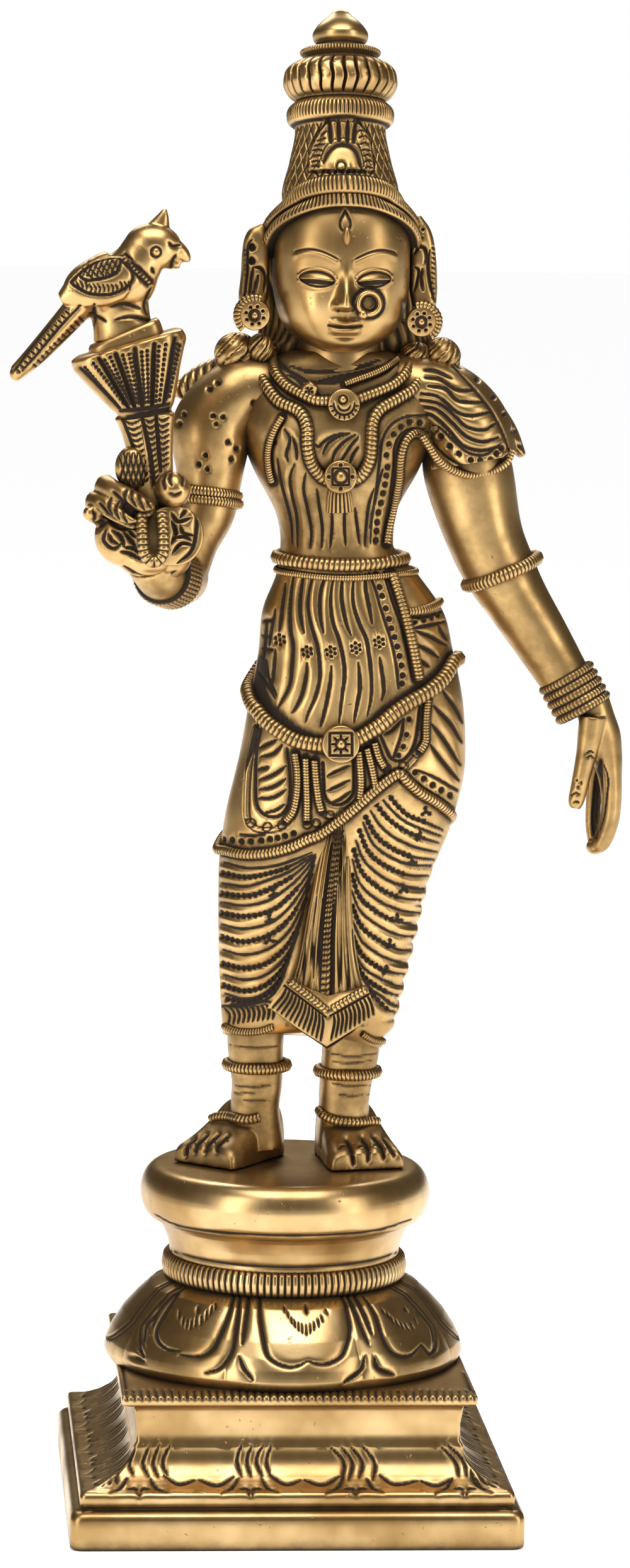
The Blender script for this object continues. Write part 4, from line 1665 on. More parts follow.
def make_lotus():
    turn = turns_round(240, 80)
    z = np.concatenate([np.linspace(219, 243.6, 80, endpoint=False), np.linspace(243.6, 258.6, 66)])[:, None]
    middle, wide, deep = columns(LOTUS, z)
    lift = 0.3 * np.clip((z - 236) / 20, 0, 1)
    petal = np.abs(np.sin(turn * 5))
    fan = step01(243.2, 245, z)
    behind = step01(0.0, 0.3, np.sin(turn))
    groove = (1 - petal ** 0.6) * (0.5 + 1.1 * fan) * behind
    out = (wide - groove) * power(np.cos(turn), 0.72)
    grid = np.stack([middle + out, -29 + (deep - groove) * power(np.sin(turn), 0.6), z + out * lift], axis=-1)
    dirt = step01(0.22, 0.06, petal) * behind * np.ones_like(z)

    def chase(relief):
        relief.lines(FAN_GROOVES, width=9, depth=1.3, taper=0.2)
        relief.dots(FAN_DOTS, 3.3, 0.6)
        relief.lines(CONE_GROOVES, width=8, depth=0.9, taper=0.2)
        relief.lines(CONE_STROKES, width=4.5, depth=0.55)
    slab = tube([(-38.4, -29, 255.6, 7.8, 5.6), (-38.8, -29, 257.6, 8.0, 5.8), (-39.4, -29, 260.2, 7.8, 5.6),
                 (-39.6, -29, 260.9, 7.4, 5.2)], around=72, step=0.25, roundness=0.5)
    slab[..., 2] += 0.14 * (slab[..., 0] + 39)
    cast("lotus_flower", carved(grid, chase, dirt), plain(slab))


# The parrot
PARROT_Y = -29.0


def side_on(*rows):
    """Stations of a tube in the parrot's middle plane, from x, height and half sizes"""
    return [(x, PARROT_Y, z, *sizes) for x, z, *sizes in rows]


def make_parrot():
    y = PARROT_Y
    body = tube(side_on((-51.6, 265.6, 2.6, 2.8), (-50.4, 266.4, 3.8, 3.6), (-47, 269.2, 6.0, 5.0),
                        (-42.6, 270.6, 7.2, 5.8), (-39, 272.4, 6.8, 5.5), (-36.8, 275.2, 5.4, 4.6),
                        (-35.2, 278, 5, 4.2)), around=48)
    head = egg((-33.6, y, 278.9), (6.2, 4.3, 5.0))
    beak = tube(side_on((-31, 278.4, 3.4, 2.6), (-28.6, 278, 2.6, 2.1), (-27.2, 277.4, 1.7, 1.7),
                        (-26.4, 276.4, 1.1, 1.2), (-26.3, 275.8, 0.7, 0.8)), (0, 1, 0), 28, 0.3)
    lower = tube(side_on((-31, 276.4, 2.2, 2.0), (-29, 275.6, 1.4, 1.4), (-27.6, 275.2, 0.8, 0.9)), (0, 1, 0), 20,
                 0.3)
    crest = tube(side_on((-33.4, 281, 3.6, 2.0), (-32.2, 283.2, 2.4, 1.4), (-31.4, 285.4, 1.3, 0.9),
                         (-31, 287, 0.4, 0.4)), (0, 1, 0), 24, 0.3)
    tail = tube(side_on((-45.4, 270.2, 3.4, 4.4), (-50, 265, 3.0, 4.3), (-54.6, 259.8, 2.6, 4),
                        (-59, 255.0, 2.2, 3.2), (-62.4, 251.8, 1.7, 2.0)), (0, 1, 0), 40, 0.35)
    tip = egg((-62.3, y, 251.7), (1.5, 1.9, 1.6))
    legs = tube(side_on((-39.4, 259.6, 6.6, 4.4), (-40, 263, 6.2, 4.2), (-41, 268, 6.6, 4.4)), (0, 1, 0), 40, 0.4)
    wings = [tube([(-36.6, y + side * 4.4, 272.2, 1.6, 1.0), (-39.4, y + side * 5.2, 272.6, 4.2, 1.5),
                   (-44, y + side * 5.4, 271.6, 5.0, 1.5), (-49, y + side * 4.4, 269.6, 3.8, 1.3),
                   (-53.0, y + side * 3.2, 267.6, 1.2, 0.9)], (0, 1, 0), 60, 0.25) for side in (-1, 1)]
    mesh = fused([plain(p) for p in (body, head, beak, lower, crest, tail, tip, legs, *wings)], 0.3, 1)

    def chase(relief):
        relief.boss(BIRD_EYE, 6.5, 0.5)
        relief.line(arc(BIRD_EYE, 8.5, 14), 3, 0.4)
        relief.lines([BIRD_COLLAR, shifted(BIRD_COLLAR, -9, 6)], width=5, depth=0.7, taper=0.1)
        for a, b in zip(spline(BIRD_COLLAR, 11), spline(shifted(BIRD_COLLAR, -9, 6), 11)):
            relief.line([a, b], 3, 0.4, straight=True)
        relief.lines([WING_EDGE, WING_BAND], width=6, depth=0.8, taper=0.2)
        relief.lines(WING_LATTICE, width=3.2, depth=0.4, taper=0)
        relief.lines(WING_FEATHERS, width=3.6, depth=0.45)
        relief.lines(TAIL_LINES, width=5.5, depth=0.6, taper=0.3)
        relief.lines(TAIL_STROKES, width=4, depth=0.5)
        relief.lines(BIRD_CUTS, width=5.5, depth=0.7)
    chased("parrot", mesh, chase)


# The hanging hand is laid out on a larger sheet of its own
HAND_CORNER = (640, 850)
HAND_SCALE = 1.817


def on_hand(*places):
    """Places of the sheet from places of the hand's own"""
    return [(HAND_CORNER[0] + u / HAND_SCALE, HAND_CORNER[1] + v / HAND_SCALE) for u, v in places]


def make_hanging_arm():
    arm = tube([(30, 0, 244, 8, 9), (35.6, 0, 239, 9, 9.6), (37.6, -0.4, 230, 9.8, 9.4), (41.8, -1, 215, 8.4, 8.8),
                (45.6, -1.6, 207, 7.8, 8), (48.6, -2, 202, 7.1, 7.4), (54, -3, 193.6, 6.4, 6.4),
                (59, -4, 185.6, 5.7, 5.4), (63.4, -4.6, 178.6, 5, 4.4)], around=72)

    def drawn(y, *rows):
        return [(*off_sheet(on_hand((u, v))[0], y), across, deep) for u, v, across, deep in rows]

    palm = tube(drawn(-4.6, (540, 470, 4.0, 3.8), (556, 520, 4.0, 3.8), (572, 575, 4.2, 3.6), (588, 640, 3.4, 3.4),
                      (597, 700, 2.6, 3.2), (600, 760, 2.3, 3.0), (594, 820, 2.2, 2.8), (578, 870, 2.1, 2.5),
                      (562, 900, 1.6, 1.9), (556, 911, 0.8, 1.0)), (0, 1, 0), 48, 0.35)
    thumb = tube(drawn(-7.6, (545, 520, 2.8, 2.6), (538, 575, 2.7, 2.4), (529, 625, 2.3, 2.1), (518, 680, 2.1, 2.0),
                       (507, 730, 1.95, 1.9), (498, 768, 1.75, 1.7), (494, 786, 1.2, 1.2)), (0, 1, 0), 32, 0.35)
    fingers = [tube(drawn(-3.8, (568, 600, 1.8, 1.6)) + drawn(y / 2 - 2.2, (562, 632, 2.1, 1.8))
                    + drawn(y, (555, 690, 1.9, 1.7), (549, 760, 1.7, 1.6), (546, 820, 1.6, 1.5), (548, 868, 1.4, 1.3),
                            (551, 893, 1.1, 1.0), (553, 903, 0.5, 0.5)), (0, 1, 0), 28, 0.35) for y in (-1.0, 1.6)]
    tip = egg(off_sheet(on_hand((552, 897))[0], -3), (1.9, 2.8, 1.7))
    mesh = fused([plain(p) for p in (arm, palm, thumb, tip, *fingers)], 0.34, 2)

    def chase(relief):
        def drawn_lines(*rows, **kw):
            relief.lines([on_hand(*row) for row in rows], **kw)

        drawn_lines([(523, 630), (540, 622), (552, 628)], [(527, 640), (542, 636), (550, 642)],
                    [(484, 748), (498, 742), (512, 748)], [(488, 772), (500, 766), (508, 772)], width=3.2, depth=0.4)
        drawn_lines([(568, 650), (560, 710), (555, 770), (550, 830), (553, 870)], width=17, depth=0.9, dirt=0.9)
        drawn_lines([(578, 660), (590, 700), (585, 760), (578, 810), (566, 850)], width=3.6, depth=0.4)
        relief.dots(on_hand((500, 705), (513, 712), (505, 724)), 2.2, 0.4)
        relief.dirt = np.maximum(relief.dirt, ARM_TONE)
    chased("hanging_arm", mesh, chase)
    bangles("hanging_bangles", (59.4, -4, 185.6), (64, -4.7, 177.5), 5, (6.5, 6.1), (0, 1, 0))


def laid_on(mesh, places, proud):
    """Points at which places of the sheet fall on a mesh"""
    tree = BVHTree.FromPolygons([v.co for v in mesh.vertices], [tuple(p.vertices) for p in mesh.polygons])
    found = []
    for place in spline(places, 40):
        way = unit(off_sheet(place, 0) - EYE)
        hit = tree.ray_cast(Vector(EYE * MM), Vector(way))[0]
        if hit:
            found.append(np.array(hit) / MM - way * proud)
    return np.array(found)


# Cape, shoulder cloth and feet
def make_cape():
    wrap = tube([(20, 1, 250.5, 5.4, 9), (23.5, 0.8, 249.4, 6.6, 9.8), (27, 0.6, 248, 7.6, 10.4),
                 (33.2, 0, 244.2, 9, 11.4), (37, -0.4, 239, 9.8, 12), (38.4, -0.8, 232, 10.2, 12)], around=230,
                step=0.24)
    flap = tube([(42, 3, 244, 3, 7), (46.6, 4, 238, 2.4, 7), (49.8, 4, 233.4, 1, 5)], around=64, step=0.4)
    turn = turns(wrap.shape[1])
    wave = np.abs(np.sin(np.linspace(0, 7 * np.pi, len(wrap))[:, None] + 0.8 * np.cos(turn)))
    swag = wave ** 6 * (wrap[..., 1] > 1)
    wrap = sunk(wrap, 0.6 * swag)

    def chase(relief):
        relief.lines(CAPE_SWAGS, width=15, depth=0.4, dirt=0.3)
        relief.lines(CAPE_SWAGS, width=7, depth=0.8, taper=0.3)
        relief.dots(CAPE_DOTS, 5, 0.8)
        relief.lines(CAPE_EDGES, width=5, depth=0.6)
        relief.dots(CAPE_TRIM, 4.5, 0.6)
    cast("cape", carved(wrap, chase, swag * 0.8), carved(flap, chase),
         crumpled((31.4, 1, 254.6), (4.4, 4.8, 4.6)), crumpled((25.6, 0, 255.0), (3.6, 4.2, 3.2), 7, 3))


def make_shoulder_cloth():
    fall = tube([(-6, 3, 251, 5, 5), (-16, 5, 249.6, 4.8, 4.6), (-22.4, 6, 247.6, 3.8, 3.6),
                 (-27, 7, 246.4, 1.4, 2.2)], around=150, step=0.24)
    run = np.linspace(0, 1, fall.shape[0])[:, None]
    turn = turns(fall.shape[1])
    fold = np.abs(np.sin(run * 34 + 1.6 * np.sin(turn))) ** 7
    fall = sunk(fall, 0.55 * fold)
    cast("shoulder_cloth", carved(fall, None, fold * 0.95),
         crumpled((-13.6, 0, 255.2), (5.0, 4.4, 4.6)), crumpled((-8.6, -2.6, 256.4), (3.0, 3.0, 3.4), 7, 3))


SOLES = 75.8
FOOT = np.array([(-0.2, 2.2, 4), (-0.16, 4.2, 8), (-0.08, 5.4, 12), (0.05, 6, 13.6), (0.3, 6.6, 13.0),
                 (0.5, 7.4, 9.8), (0.7, 8.1, 7.0), (0.85, 8.5, 5.4), (0.95, 8.5, 4.6), (1.0, 8.2, 3.6)])


def foot(heel, toe):
    """A blocky foot flat on the plinth"""
    heel, toe = np.array([*heel, SOLES]), np.array([*toe, SOLES])
    run = toe - heel
    across = unit(np.array([-run[1], run[0], 0]))
    share = np.linspace(-0.2, 1.0, 76)[:, None]
    wide, tall = columns(FOOT, share)
    turn = turns(84)
    lift = np.where(np.sin(turn) > 0, np.abs(np.sin(turn)) ** 0.5, 0)
    rows = (heel + share[..., None] * run + (wide * power(np.cos(turn), 0.55))[..., None] * across
            + (tall * lift)[..., None] * np.array([0, 0, 1.0]))
    return plain(rows)


def make_feet():
    legs = [tube([(-7.4, 1.6, 118, 6.6, 6.6), (-7.4, 2, 102, 6.2, 6.4), (-6.9, 3, 93, 5.6, 6.4),
                  (-7.2, 3.4, 88, 5.4, 6.4), (-7.0, 4.2, 79, 6.4, 7)], roundness=0.8),
            tube([(13.8, 1.6, 118, 6.6, 6.6), (13.9, 2, 102, 6.4, 6.4), (12.9, 3, 93, 5.8, 6.4),
                  (12.6, 3.4, 88, 5.6, 6.4), (12.8, 4.2, 79, 6.2, 7)], roundness=0.8), ]

    def toes(relief):
        relief.lines(TOE_GAPS, width=6.5, depth=1.3, taper=0.15)
        relief.lines(TOE_NAILS, width=3.2, depth=0.4)
        relief.lines(ANKLE_MARKS, width=3.2, depth=0.2, dirt=0.7, taper=0.8)
        relief.dirt = np.maximum(relief.dirt, 0.3)
    paths = []
    for name, leg, heel, toe, rope in (("left_foot", legs[0], (-5.6, 9.6), (-19.2, -5.6), FOOT_ROPE_LEFT),
                                       ("right_foot", legs[1], (12.4, 10), (17.2, -10.4), FOOT_ROPE_RIGHT)):
        mesh = fused([plain(leg), foot(heel, toe)], 0.34, 2)
        paths.append((laid_on(mesh, rope, 0.5)[::3], 1.15, False))
        chased(name, mesh, toes)
    cords("foot_ropes", paths)


# Jewellery, sash and ropes
THIGH_ROPE = [(20.2, 208), (22.5, 201), (24.5, 193.3), (26.3, 185)]

HIP_ROPE = [(647, 971), (672, 968), (692, 960), (698, 954)]

BELT_LOWER = ([(-4, 207.8), (9, 207.0), (23, 207.8)], 208.2)


def ring_round(centre, run, wide, deep):
    """Points of a ring round a limb that runs this way"""
    way = unit(np.asarray(run, float))
    across = unit(np.cross(way, (0, 1, 0.001)))
    over = np.cross(across, way)
    return [np.asarray(centre, float) + across * wide * math.cos(a) + over * deep * math.sin(a)
            for a in turns(24)]


def make_necklaces():
    cords("necklaces", [(on_front(row, 0.9), size, False) for row, size in NECKLACES])
    edge = seen(CAPE_ROPE, lambda x, z: -7.5 - 5.5 * math.exp(-((x - 26) / 11) ** 2))
    cords("cape_rope", [(edge, 0.95, False)])


def make_girdle():
    cords("girdle", [(around_body(BELT, 0.5), 1.5, True), (around_body(BELT_LOWER, 0.15), 0.75, True)])
    cords("sash", [(around_body(SASH, 0.7), SASH_SIZE, True)], closer=0.85)


def make_skirt_ropes():
    paths = [(on_front(row, 0.5), TAB_SIZE, False) for row in TAB_ROPES]
    paths += [(laid(THIGH_ROPE, 0.6), HEM_SIZE, False), (on_front(HIP_ROPE, 0.6), 1.0, False)]
    front = on_front(spline(HEM_ROPE, 60), 0.7)
    behind = around_body(APRON_HEM, 0.5, 150)[103:-3]
    paths.append((np.vstack([front, behind])[::2], HEM_SIZE, True))
    cords("skirt_ropes", paths)


def make_anklets():
    paths = [(ring_round((-7, 2.2, 97.2), (0, 0, 1), 6.6, 6.8), 1.35, True),
             (ring_round((13.3, 2.4, 95.8), (0, 0, 1), 6.5, 6.7), 1.35, True),
             (ring_round((45.4, -1.6, 208), (0.42, 0, -1), 8.3, 8.5), 1.5, True)]
    paths += [(ring_round((-19.9 - 0.2 * k, -1.4, 223.8 + s * 0.9), (0.1, 0.1, 1), 7.1, 7.5), 1.15, True)
              for k, s in enumerate((-1, 1))]
    cords("limb_rings", paths, closer=0.8)


def make_jewels():
    parts = []

    def spokes(middle, inner, outer, count, first, last):
        return list(zip(arc(middle, inner, count, first, last), arc(middle, outer, count, first, last)))

    def square(middle, half):
        return [middle + (half * x, half * y) for x, y in ((-1, -1), (1, -1), (1, 1), (-1, 1), (-1, -1))]

    def turned(form, chase):
        middle = on_sheet(form.reshape(-1, 3)).mean(0)
        parts.append(carved(form, lambda r: chase(r, middle)))

    def pendant(relief, m):
        relief.boss(m + (-2, -8), 6, 0.7)
        relief.line(arc(m, 17, 24, -0.2, math.pi + 0.2), 4.5, 0.6)
        relief.line(arc(m, 10, 16, 0.0, math.pi), 4, 0.5)
        relief.lines(spokes(m, 18, 24, 9, 0.1, 3.0), width=3.4, depth=0.5)

    def square_boss(relief, m):
        relief.boss(m, 9, 0.9)
        relief.line(square(m, 13.5), 4, 0.5, straight=True, taper=0)
        relief.dots(arc(m, 19, 5)[:-1], 3.4, 0.5)

    def buckle(relief, m):
        relief.boss(m, 7, 0.8)
        relief.line(square(m, 18), 4.5, 0.6, straight=True, taper=0)
        relief.lines(spokes(m, 8, 16, 9, 0, 2 * math.pi)[:-1], width=4, depth=0.6)

    turned(disc(front_at(9.0, 245.0, 2.4), (0, -1, 0.1), 3.5, 3.2, 0.6, 110, 24), pendant)
    turned(disc(front_at(8.4, 229.4, 2.4), (0, -1, 0.1), 3.6, 3.2, 0.6, 110, 24), square_boss)
    turned(disc((9.2, -17.4, 171.2), (0, -1, 0.05), 4.1, 4.4, 0.3, 120, 26), buckle)
    parts.append(plain(egg((9, -14.6, 281.4), (0.9, 1.2, 2.1))))
    link = tube([(2.6, -12.2, 249.2, 1.3, 1.1), (1.4, -11.8, 247.6, 1.9, 1.4), (0.6, -11.2, 246.2, 1.2, 1.1)],
                around=48, step=0.2)
    parts.append(carved(link, lambda r: r.flowers([on_sheet(link.reshape(-1, 3)).mean(0)], 5.5, 2.6, 5)))
    tassel = tube([(8.6, -12.4, 227.4, 2.0, 1.8), (8.4, -12.2, 225.6, 2.6, 2.2), (8.6, -11.4, 221.6, 3.1, 1.9)],
                  around=90, step=0.25)
    rib = np.abs(np.sin(turns(90) * 9)) ** 4
    parts.append(carved(sunk(tassel, (0.5 * rib)[None]), None, rib + 0 * tassel[..., 0]))
    turn = turns(48)
    small = turns(14)[:, None]
    size = 2.4 + 0.55 * np.cos(small)
    out = -0.7 * np.sin(small)
    across = np.cos(turn) * size
    ring = NOSE_RING + np.stack([across, out + 0.34 * across, np.sin(turn) * size], axis=-1)
    parts.append(closed_ring(ring, step01(-0.1, 0.5, out + 0 * size * turn)))
    parts.append(plain(egg(NOSE_RING + (-1.4, -0.7, -2.4), (1.0, 1.0, 1.0), 20, 14)))
    cast("jewels", *parts)


# The plinth: disc, neck, ribbed collar, lotus and square stepped base
PLINTH_MIDDLE = -0.5
LOTUS_FOOT = 31.6
LOTUS_TALL = 18.8
DISC_FOOT = LOTUS_FOOT + LOTUS_TALL + 5.2


def turned_grid(profile, count, step):
    """Rows of a turned form through radius and height, more of them close together in front"""
    p = np.asarray(profile, float)
    run = run_along(p)
    at = np.linspace(0, run[-1], max(8, int(run[-1] / step)))
    radius, z = np.interp(at, run, p[:, 0]), np.interp(at, run, p[:, 1])
    turn = turns_round(count * 2 // 3, count // 3)
    return turn, radius[:, None] + 0 * turn, z[:, None] + 0 * turn


def placed_round(turn, radius, z):
    return np.stack([PLINTH_MIDDLE + radius * np.cos(turn), radius * np.sin(turn), z], axis=-1)


def plinth_piece(name, form):
    piece(name, mesh_from(name, *form), plinth_brass(), "plinth")


def make_disc():
    def above_foot(*rows):
        return [(radius, DISC_FOOT + up) for radius, up in rows]

    edge, over = ([(radius + wide * math.cos(a), 13.9 + 6 * math.sin(a)) for a in np.linspace(first, last, 9)]
                  for radius, wide, first, last in ((28.7, 3.5, -math.pi / 2, 0), (27.8, 4.4, 0.1, math.pi / 2)))
    profile = above_foot((24, -0.5), (25.6, -0.4), (25.6, 1.3), (26.4, 4), (27.6, 6.7), (28.4, 7.6), *edge, *over,
                         (2, 19.9))
    form = placed_round(*turned_grid(profile, 300, 0.42))
    plinth_piece("standing_disc", carved(form, lambda relief: relief.lines(NECK_LINES, width=4, depth=0.3)))
    rows = above_foot((25.8, -5.6), (26.4, -5.2), (27, -4.6), (27.4, -2.6), (27, -0.6), (26.4, 0.1), (25, 0.3))
    turn, radius, z = turned_grid(rows, 1100, 0.5)
    rib = np.abs(np.cos(turn * 56)) ** 6
    seam = step01(DISC_FOOT - 4.6, DISC_FOOT - 5.1, z)
    plinth_piece("ribbed_collar", carved(placed_round(turn, radius - 0.45 * rib, z), None, np.maximum(rib, seam)))


def make_plinth_lotus():
    rings = [(24.5, 1.0), (26, 0.985), (29.6, 0.90), (32.4, 0.76), (35.4, 0.58), (37.6, 0.4), (38.9, 0.26),
             (39.4, 0.14), (39.0, 0.07), (38.2, 0.0), (20, -0.02)]
    turn, radius, z = turned_grid([(r * 1.01, LOTUS_FOOT + up * LOTUS_TALL) for r, up in rings], 660, 0.36)
    wave = np.abs(np.cos((turn + np.pi / 2) * 4))
    share = (z - LOTUS_FOOT) / LOTUS_TALL
    bulge = 0.6 * step01(1.0, 0.5, share) * step01(-0.05, 0.1, share)
    side = np.abs((turn + np.pi / 8) % (np.pi / 4) - np.pi / 8)
    edge = 0.29 * np.sqrt(np.clip((share - 0.24) / 0.3, 0, 1)) * (1.15 - 0.3 * share)
    behind = step01(-0.6, -0.5, np.sin(turn))
    outline = rounded(side - edge, 0.022) + rounded(side - edge - 0.06, 0.02)
    outline = np.clip(outline * step01(0.2, 0.26, share) * behind, 0, 1)
    grid = placed_round(turn, radius + bulge * (wave ** 0.6 - 0.7) - 0.5 * outline, z)

    def chase(relief):
        x, y = relief.points[:, 0], relief.points[:, 1]
        relief.front *= step01(-0.42, -0.54, y / np.hypot(x, y))
        relief.lines(PETAL_EDGES, width=7, depth=0.8)
        relief.lines(PETAL_STROKES, width=3.2, depth=0.4, taper=0.8)
        relief.lines(PETAL_WEDGES, width=5, depth=0.6)
    plinth_piece("pedestal_lotus", carved(grid, chase, outline))


BASE_COLUMNS = (230, 210, 90, 210)  # in front, on her left, behind and on her right


def square_grid(levels):
    """Rows of a square form through half width, half depth, height, corner radius and shift"""
    rows = []
    for half_x, half_y, z, edge, shift in levels:
        arcs = []
        for k, (sx, sy) in enumerate([(-1, -1), (1, -1), (1, 1), (-1, 1)]):
            turn = np.linspace(0, np.pi / 2, 5)
            turn = turn[::-1] if k % 2 else turn
            arcs.append(np.stack([shift + sx * (half_x - edge + edge * np.cos(turn)),
                                  sy * (half_y - edge + edge * np.sin(turn))], axis=1))
        ring = []
        for k, count in enumerate(BASE_COLUMNS):
            ring += [arcs[k][:-1]]
            t = np.linspace(0, 1, count, endpoint=False)[:, None]
            ring += [arcs[k][-1] + t * (arcs[(k + 1) % 4][0] - arcs[k][-1])]
        ring = np.vstack(ring)
        rows.append(np.column_stack([ring, np.full(len(ring), z)]))
    return np.array(rows)


def refined(levels, step):
    """More levels between the given ones"""
    levels = np.asarray(levels, float)
    fine = [levels[0]]
    for a, b in zip(levels[:-1], levels[1:]):
        count = max(1, int(np.linalg.norm((b - a)[:3]) / step))
        fine += [a + (b - a) * (k + 1) / count for k in range(count)]
    return fine


# Half a petal of the base's sides, in millimetres from its middle and down the slope
SIDE_PETAL = [[(x, 13.6), (1.3 * x, 10), (1.2 * x, low)] for x, low in ((1.6, 5.4), (3.4, 5.0), (5.4, 5.6))]
SIDE_PETAL += [[(6.6, 5.2), (8.0, 3.6), (9.8, 3.5), (11, 4.6)], [(4.6, 3.8), (2.4, 3.0), (0.4, 1.4)]]


def make_base():
    half_w, half_d = 49.2, 51.0
    slab = [(46, 48, 0, 2.4, 0)]
    slab += [(half_w - inward, half_d - inward, z, edge, 0) for inward, z, edge in (
        (0.6, 0, 2.4), (0.1, 0.5, 2.4), (0, 1.2, 2.4), (0, 6.6, 2.4), (0.3, 7.5, 2.4), (1.1, 8.3, 2.4),
        (3.2, 8.4, 2.0), (3.2, 8.9, 1.4), (2.2, 9.4, 1.4), (2.0, 11.2, 1.4), (2.4, 12.2, 1.2))]
    slope = []
    for part in np.linspace(0, 1, 11)[1:]:
        inward = math.sin(part * math.pi / 2) ** 0.8
        slope.append((half_w - 2.6 - (half_w - 2.6 - 35.9) * inward, half_d - 2.6 - (half_d - 2.6 - 39.8) * inward,
                      12.2 + 8.3 * part ** 1.25, 0.8, 0.6 * part))
    die, plate = ([(half, deep, z, 0.8, 0.6) for half, deep, z in rows] for rows in (
        ((35.3, 39.2, 21.4), (35.2, 39.1, 24.9), (35.9, 39.8, 29.2)),
        ((37.6, 41.5, 29.7), (38.6, 42.5, 30.2), (38.6, 42.5, 31.8), (38.2, 42.1, 32.2), (33, 36, 32.2),
         (20, 20, 32.2))))
    fine = [*refined(slab, 1.4), *refined([slab[-1], *slope], 0.46)[1:], *refined([slope[-1], *die], 1.2)[1:],
            *refined([die[-1], *plate], 0.6)[1:]]
    grid = square_grid(fine)

    def chase(relief):
        relief.front *= step01(0.1, 0.3, -relief.normals[:, 1] + 2 * (relief.points[:, 2] > 31))
        relief.lines(BASE_LINES, width=5.2, depth=0.55)
        relief.lines(PLATE_LINES, width=4.5, depth=0.5, taper=0)
        for x in range(200, 760, 12):
            relief.line([(x, 2206), (x + 2, 2222)], 3.5, 0.5, straight=True, taper=0)
        for along, out in (((0, 1, 0), (-1, 0, 0)), ((0, 1, 0), (1, 0, 0)), ((1, 0, 0), (0, 1, 0))):
            away = relief.points @ np.array(out, float) - 3 * out[1]
            up = relief.points[:, 2] - 12.2
            relief.sheet = np.stack([relief.points @ np.array(along, float), (48 - away + up) * 0.7], axis=-1)
            relief.sheet *= SHEET_UNITS
            facing = step01(0.08, 0.25, relief.normals @ np.array(out, float))
            relief.front = facing * step01(0, 0.3, up) * step01(9, 8.4, up)
            relief.lines([[(SHEET_UNITS * (centre + side * a), SHEET_UNITS * v) for a, v in row]
                          for row in SIDE_PETAL for centre in (-33, -11, 11, 33) for side in (-1, 1)],
                         width=5, depth=0.35)
    plinth_piece("square_base", carved(grid, chase))


# The stage

# Name, place, what it lights, its size, watts and colour
LAMPS = (
    ("left softbox", (-0.62, -0.62, 0.42), (0, 0, 0.17), (0.28, 0.8), 2.8, (1, 0.97, 0.92)),
    ("right softbox", (0.62, -0.5, 0.36), (0, 0, 0.16), (0.22, 0.7), 1.8, (1, 0.97, 0.92)),
    ("top softbox", (0.0, -0.3, 0.95), (0, 0, 0.12), (0.7, 0.5), 4.9, (1, 0.99, 0.97)),
    ("back softbox", (0.0, 0.8, 0.9), (0, 0, 0.15), (0.8, 0.4), 4.0, (1, 1, 1)),
)


def make_stage():
    studio = bpy.context.scene.goddess_studio
    bpy.context.scene.view_settings.view_transform = "Standard"
    for name in ("floor", "view", *(lamp[0] for lamp in LAMPS)):
        old = bpy.data.objects.get(name)
        if old:
            bpy.data.objects.remove(old)
    grid = np.array([[(x, y, 0) for x in (-9, 9)] for y in (-9, 9)], float)
    mesh = mesh_from("floor", grid.reshape(-1, 3) / MM, [grid_faces(2, 2, False)])
    floor = bpy.data.objects.new("floor", mesh)
    bpy.context.scene.collection.objects.link(floor)
    paper = bpy.data.materials.new("paper")
    paper.use_nodes = True
    shader = paper.node_tree.nodes["Principled BSDF"]
    shader.inputs["Base Color"].default_value = (*studio.paper, 1)
    shader.inputs["Roughness"].default_value = 0.9
    shader.inputs["Specular IOR Level"].default_value = 0.1
    shader.inputs["Emission Color"].default_value = (1, 1, 1, 1)
    shader.inputs["Emission Strength"].default_value = 0.27
    mesh.materials.append(paper)
    for name, place, aim, size, watts, tint in LAMPS:
        light = bpy.data.lights.new(name, "AREA")
        light.shape = "RECTANGLE"
        light.size, light.size_y = size
        light.energy = watts * studio.strength
        light.color = tint
        made = bpy.data.objects.new(name, light)
        made.location = place
        made.rotation_euler = (Vector(aim) - Vector(place)).to_track_quat("-Z", "Y").to_euler()
        bpy.context.scene.collection.objects.link(made)
    make_room(studio.room)
    data = bpy.data.cameras.new("view")
    data.sensor_width = 36
    data.lens = SHEET_FOCUS / SHEET[1] * 36
    data.shift_x = -SHEET_OFFSET / SHEET[1]
    data.clip_start, data.clip_end = 0.01, 100
    camera = bpy.data.objects.new("view", data)
    turn = Matrix([[RIGHT[k], UP[k], -AHEAD[k]] for k in range(3)]).to_4x4()
    camera.matrix_world = Matrix.Translation(Vector(EYE * MM)) @ turn
    bpy.context.scene.collection.objects.link(camera)
    bpy.context.scene.camera = camera


def make_room(strength):
    """A world that is white to the camera, pale to matt things and darker in the metal's reflections"""
    world = bpy.data.worlds.new("pale room")
    bpy.context.scene.world = world
    world.use_nodes = True
    tree = world.node_tree
    tree.nodes.clear()
    start = Maths(tree, None)
    path = start.node("ShaderNodeLightPath")

    def ground(colour, power_given):
        return start.made("ShaderNodeBackground", None, {"Color": (*colour, 1), "Strength": power_given})

    def either(choice, first, second):
        return start.made("ShaderNodeMixShader", None, {0: Maths(tree, path.outputs[choice]), 1: first, 2: second})

    seen_by_things = either("Is Glossy Ray", ground((1, 1, 1), strength), ground((0.3, 0.25, 0.18), strength * 0.36))
    start.node("ShaderNodeOutputWorld", None,
               {"Surface": either("Is Camera Ray", seen_by_things, ground((1, 1, 1), 1.0))})


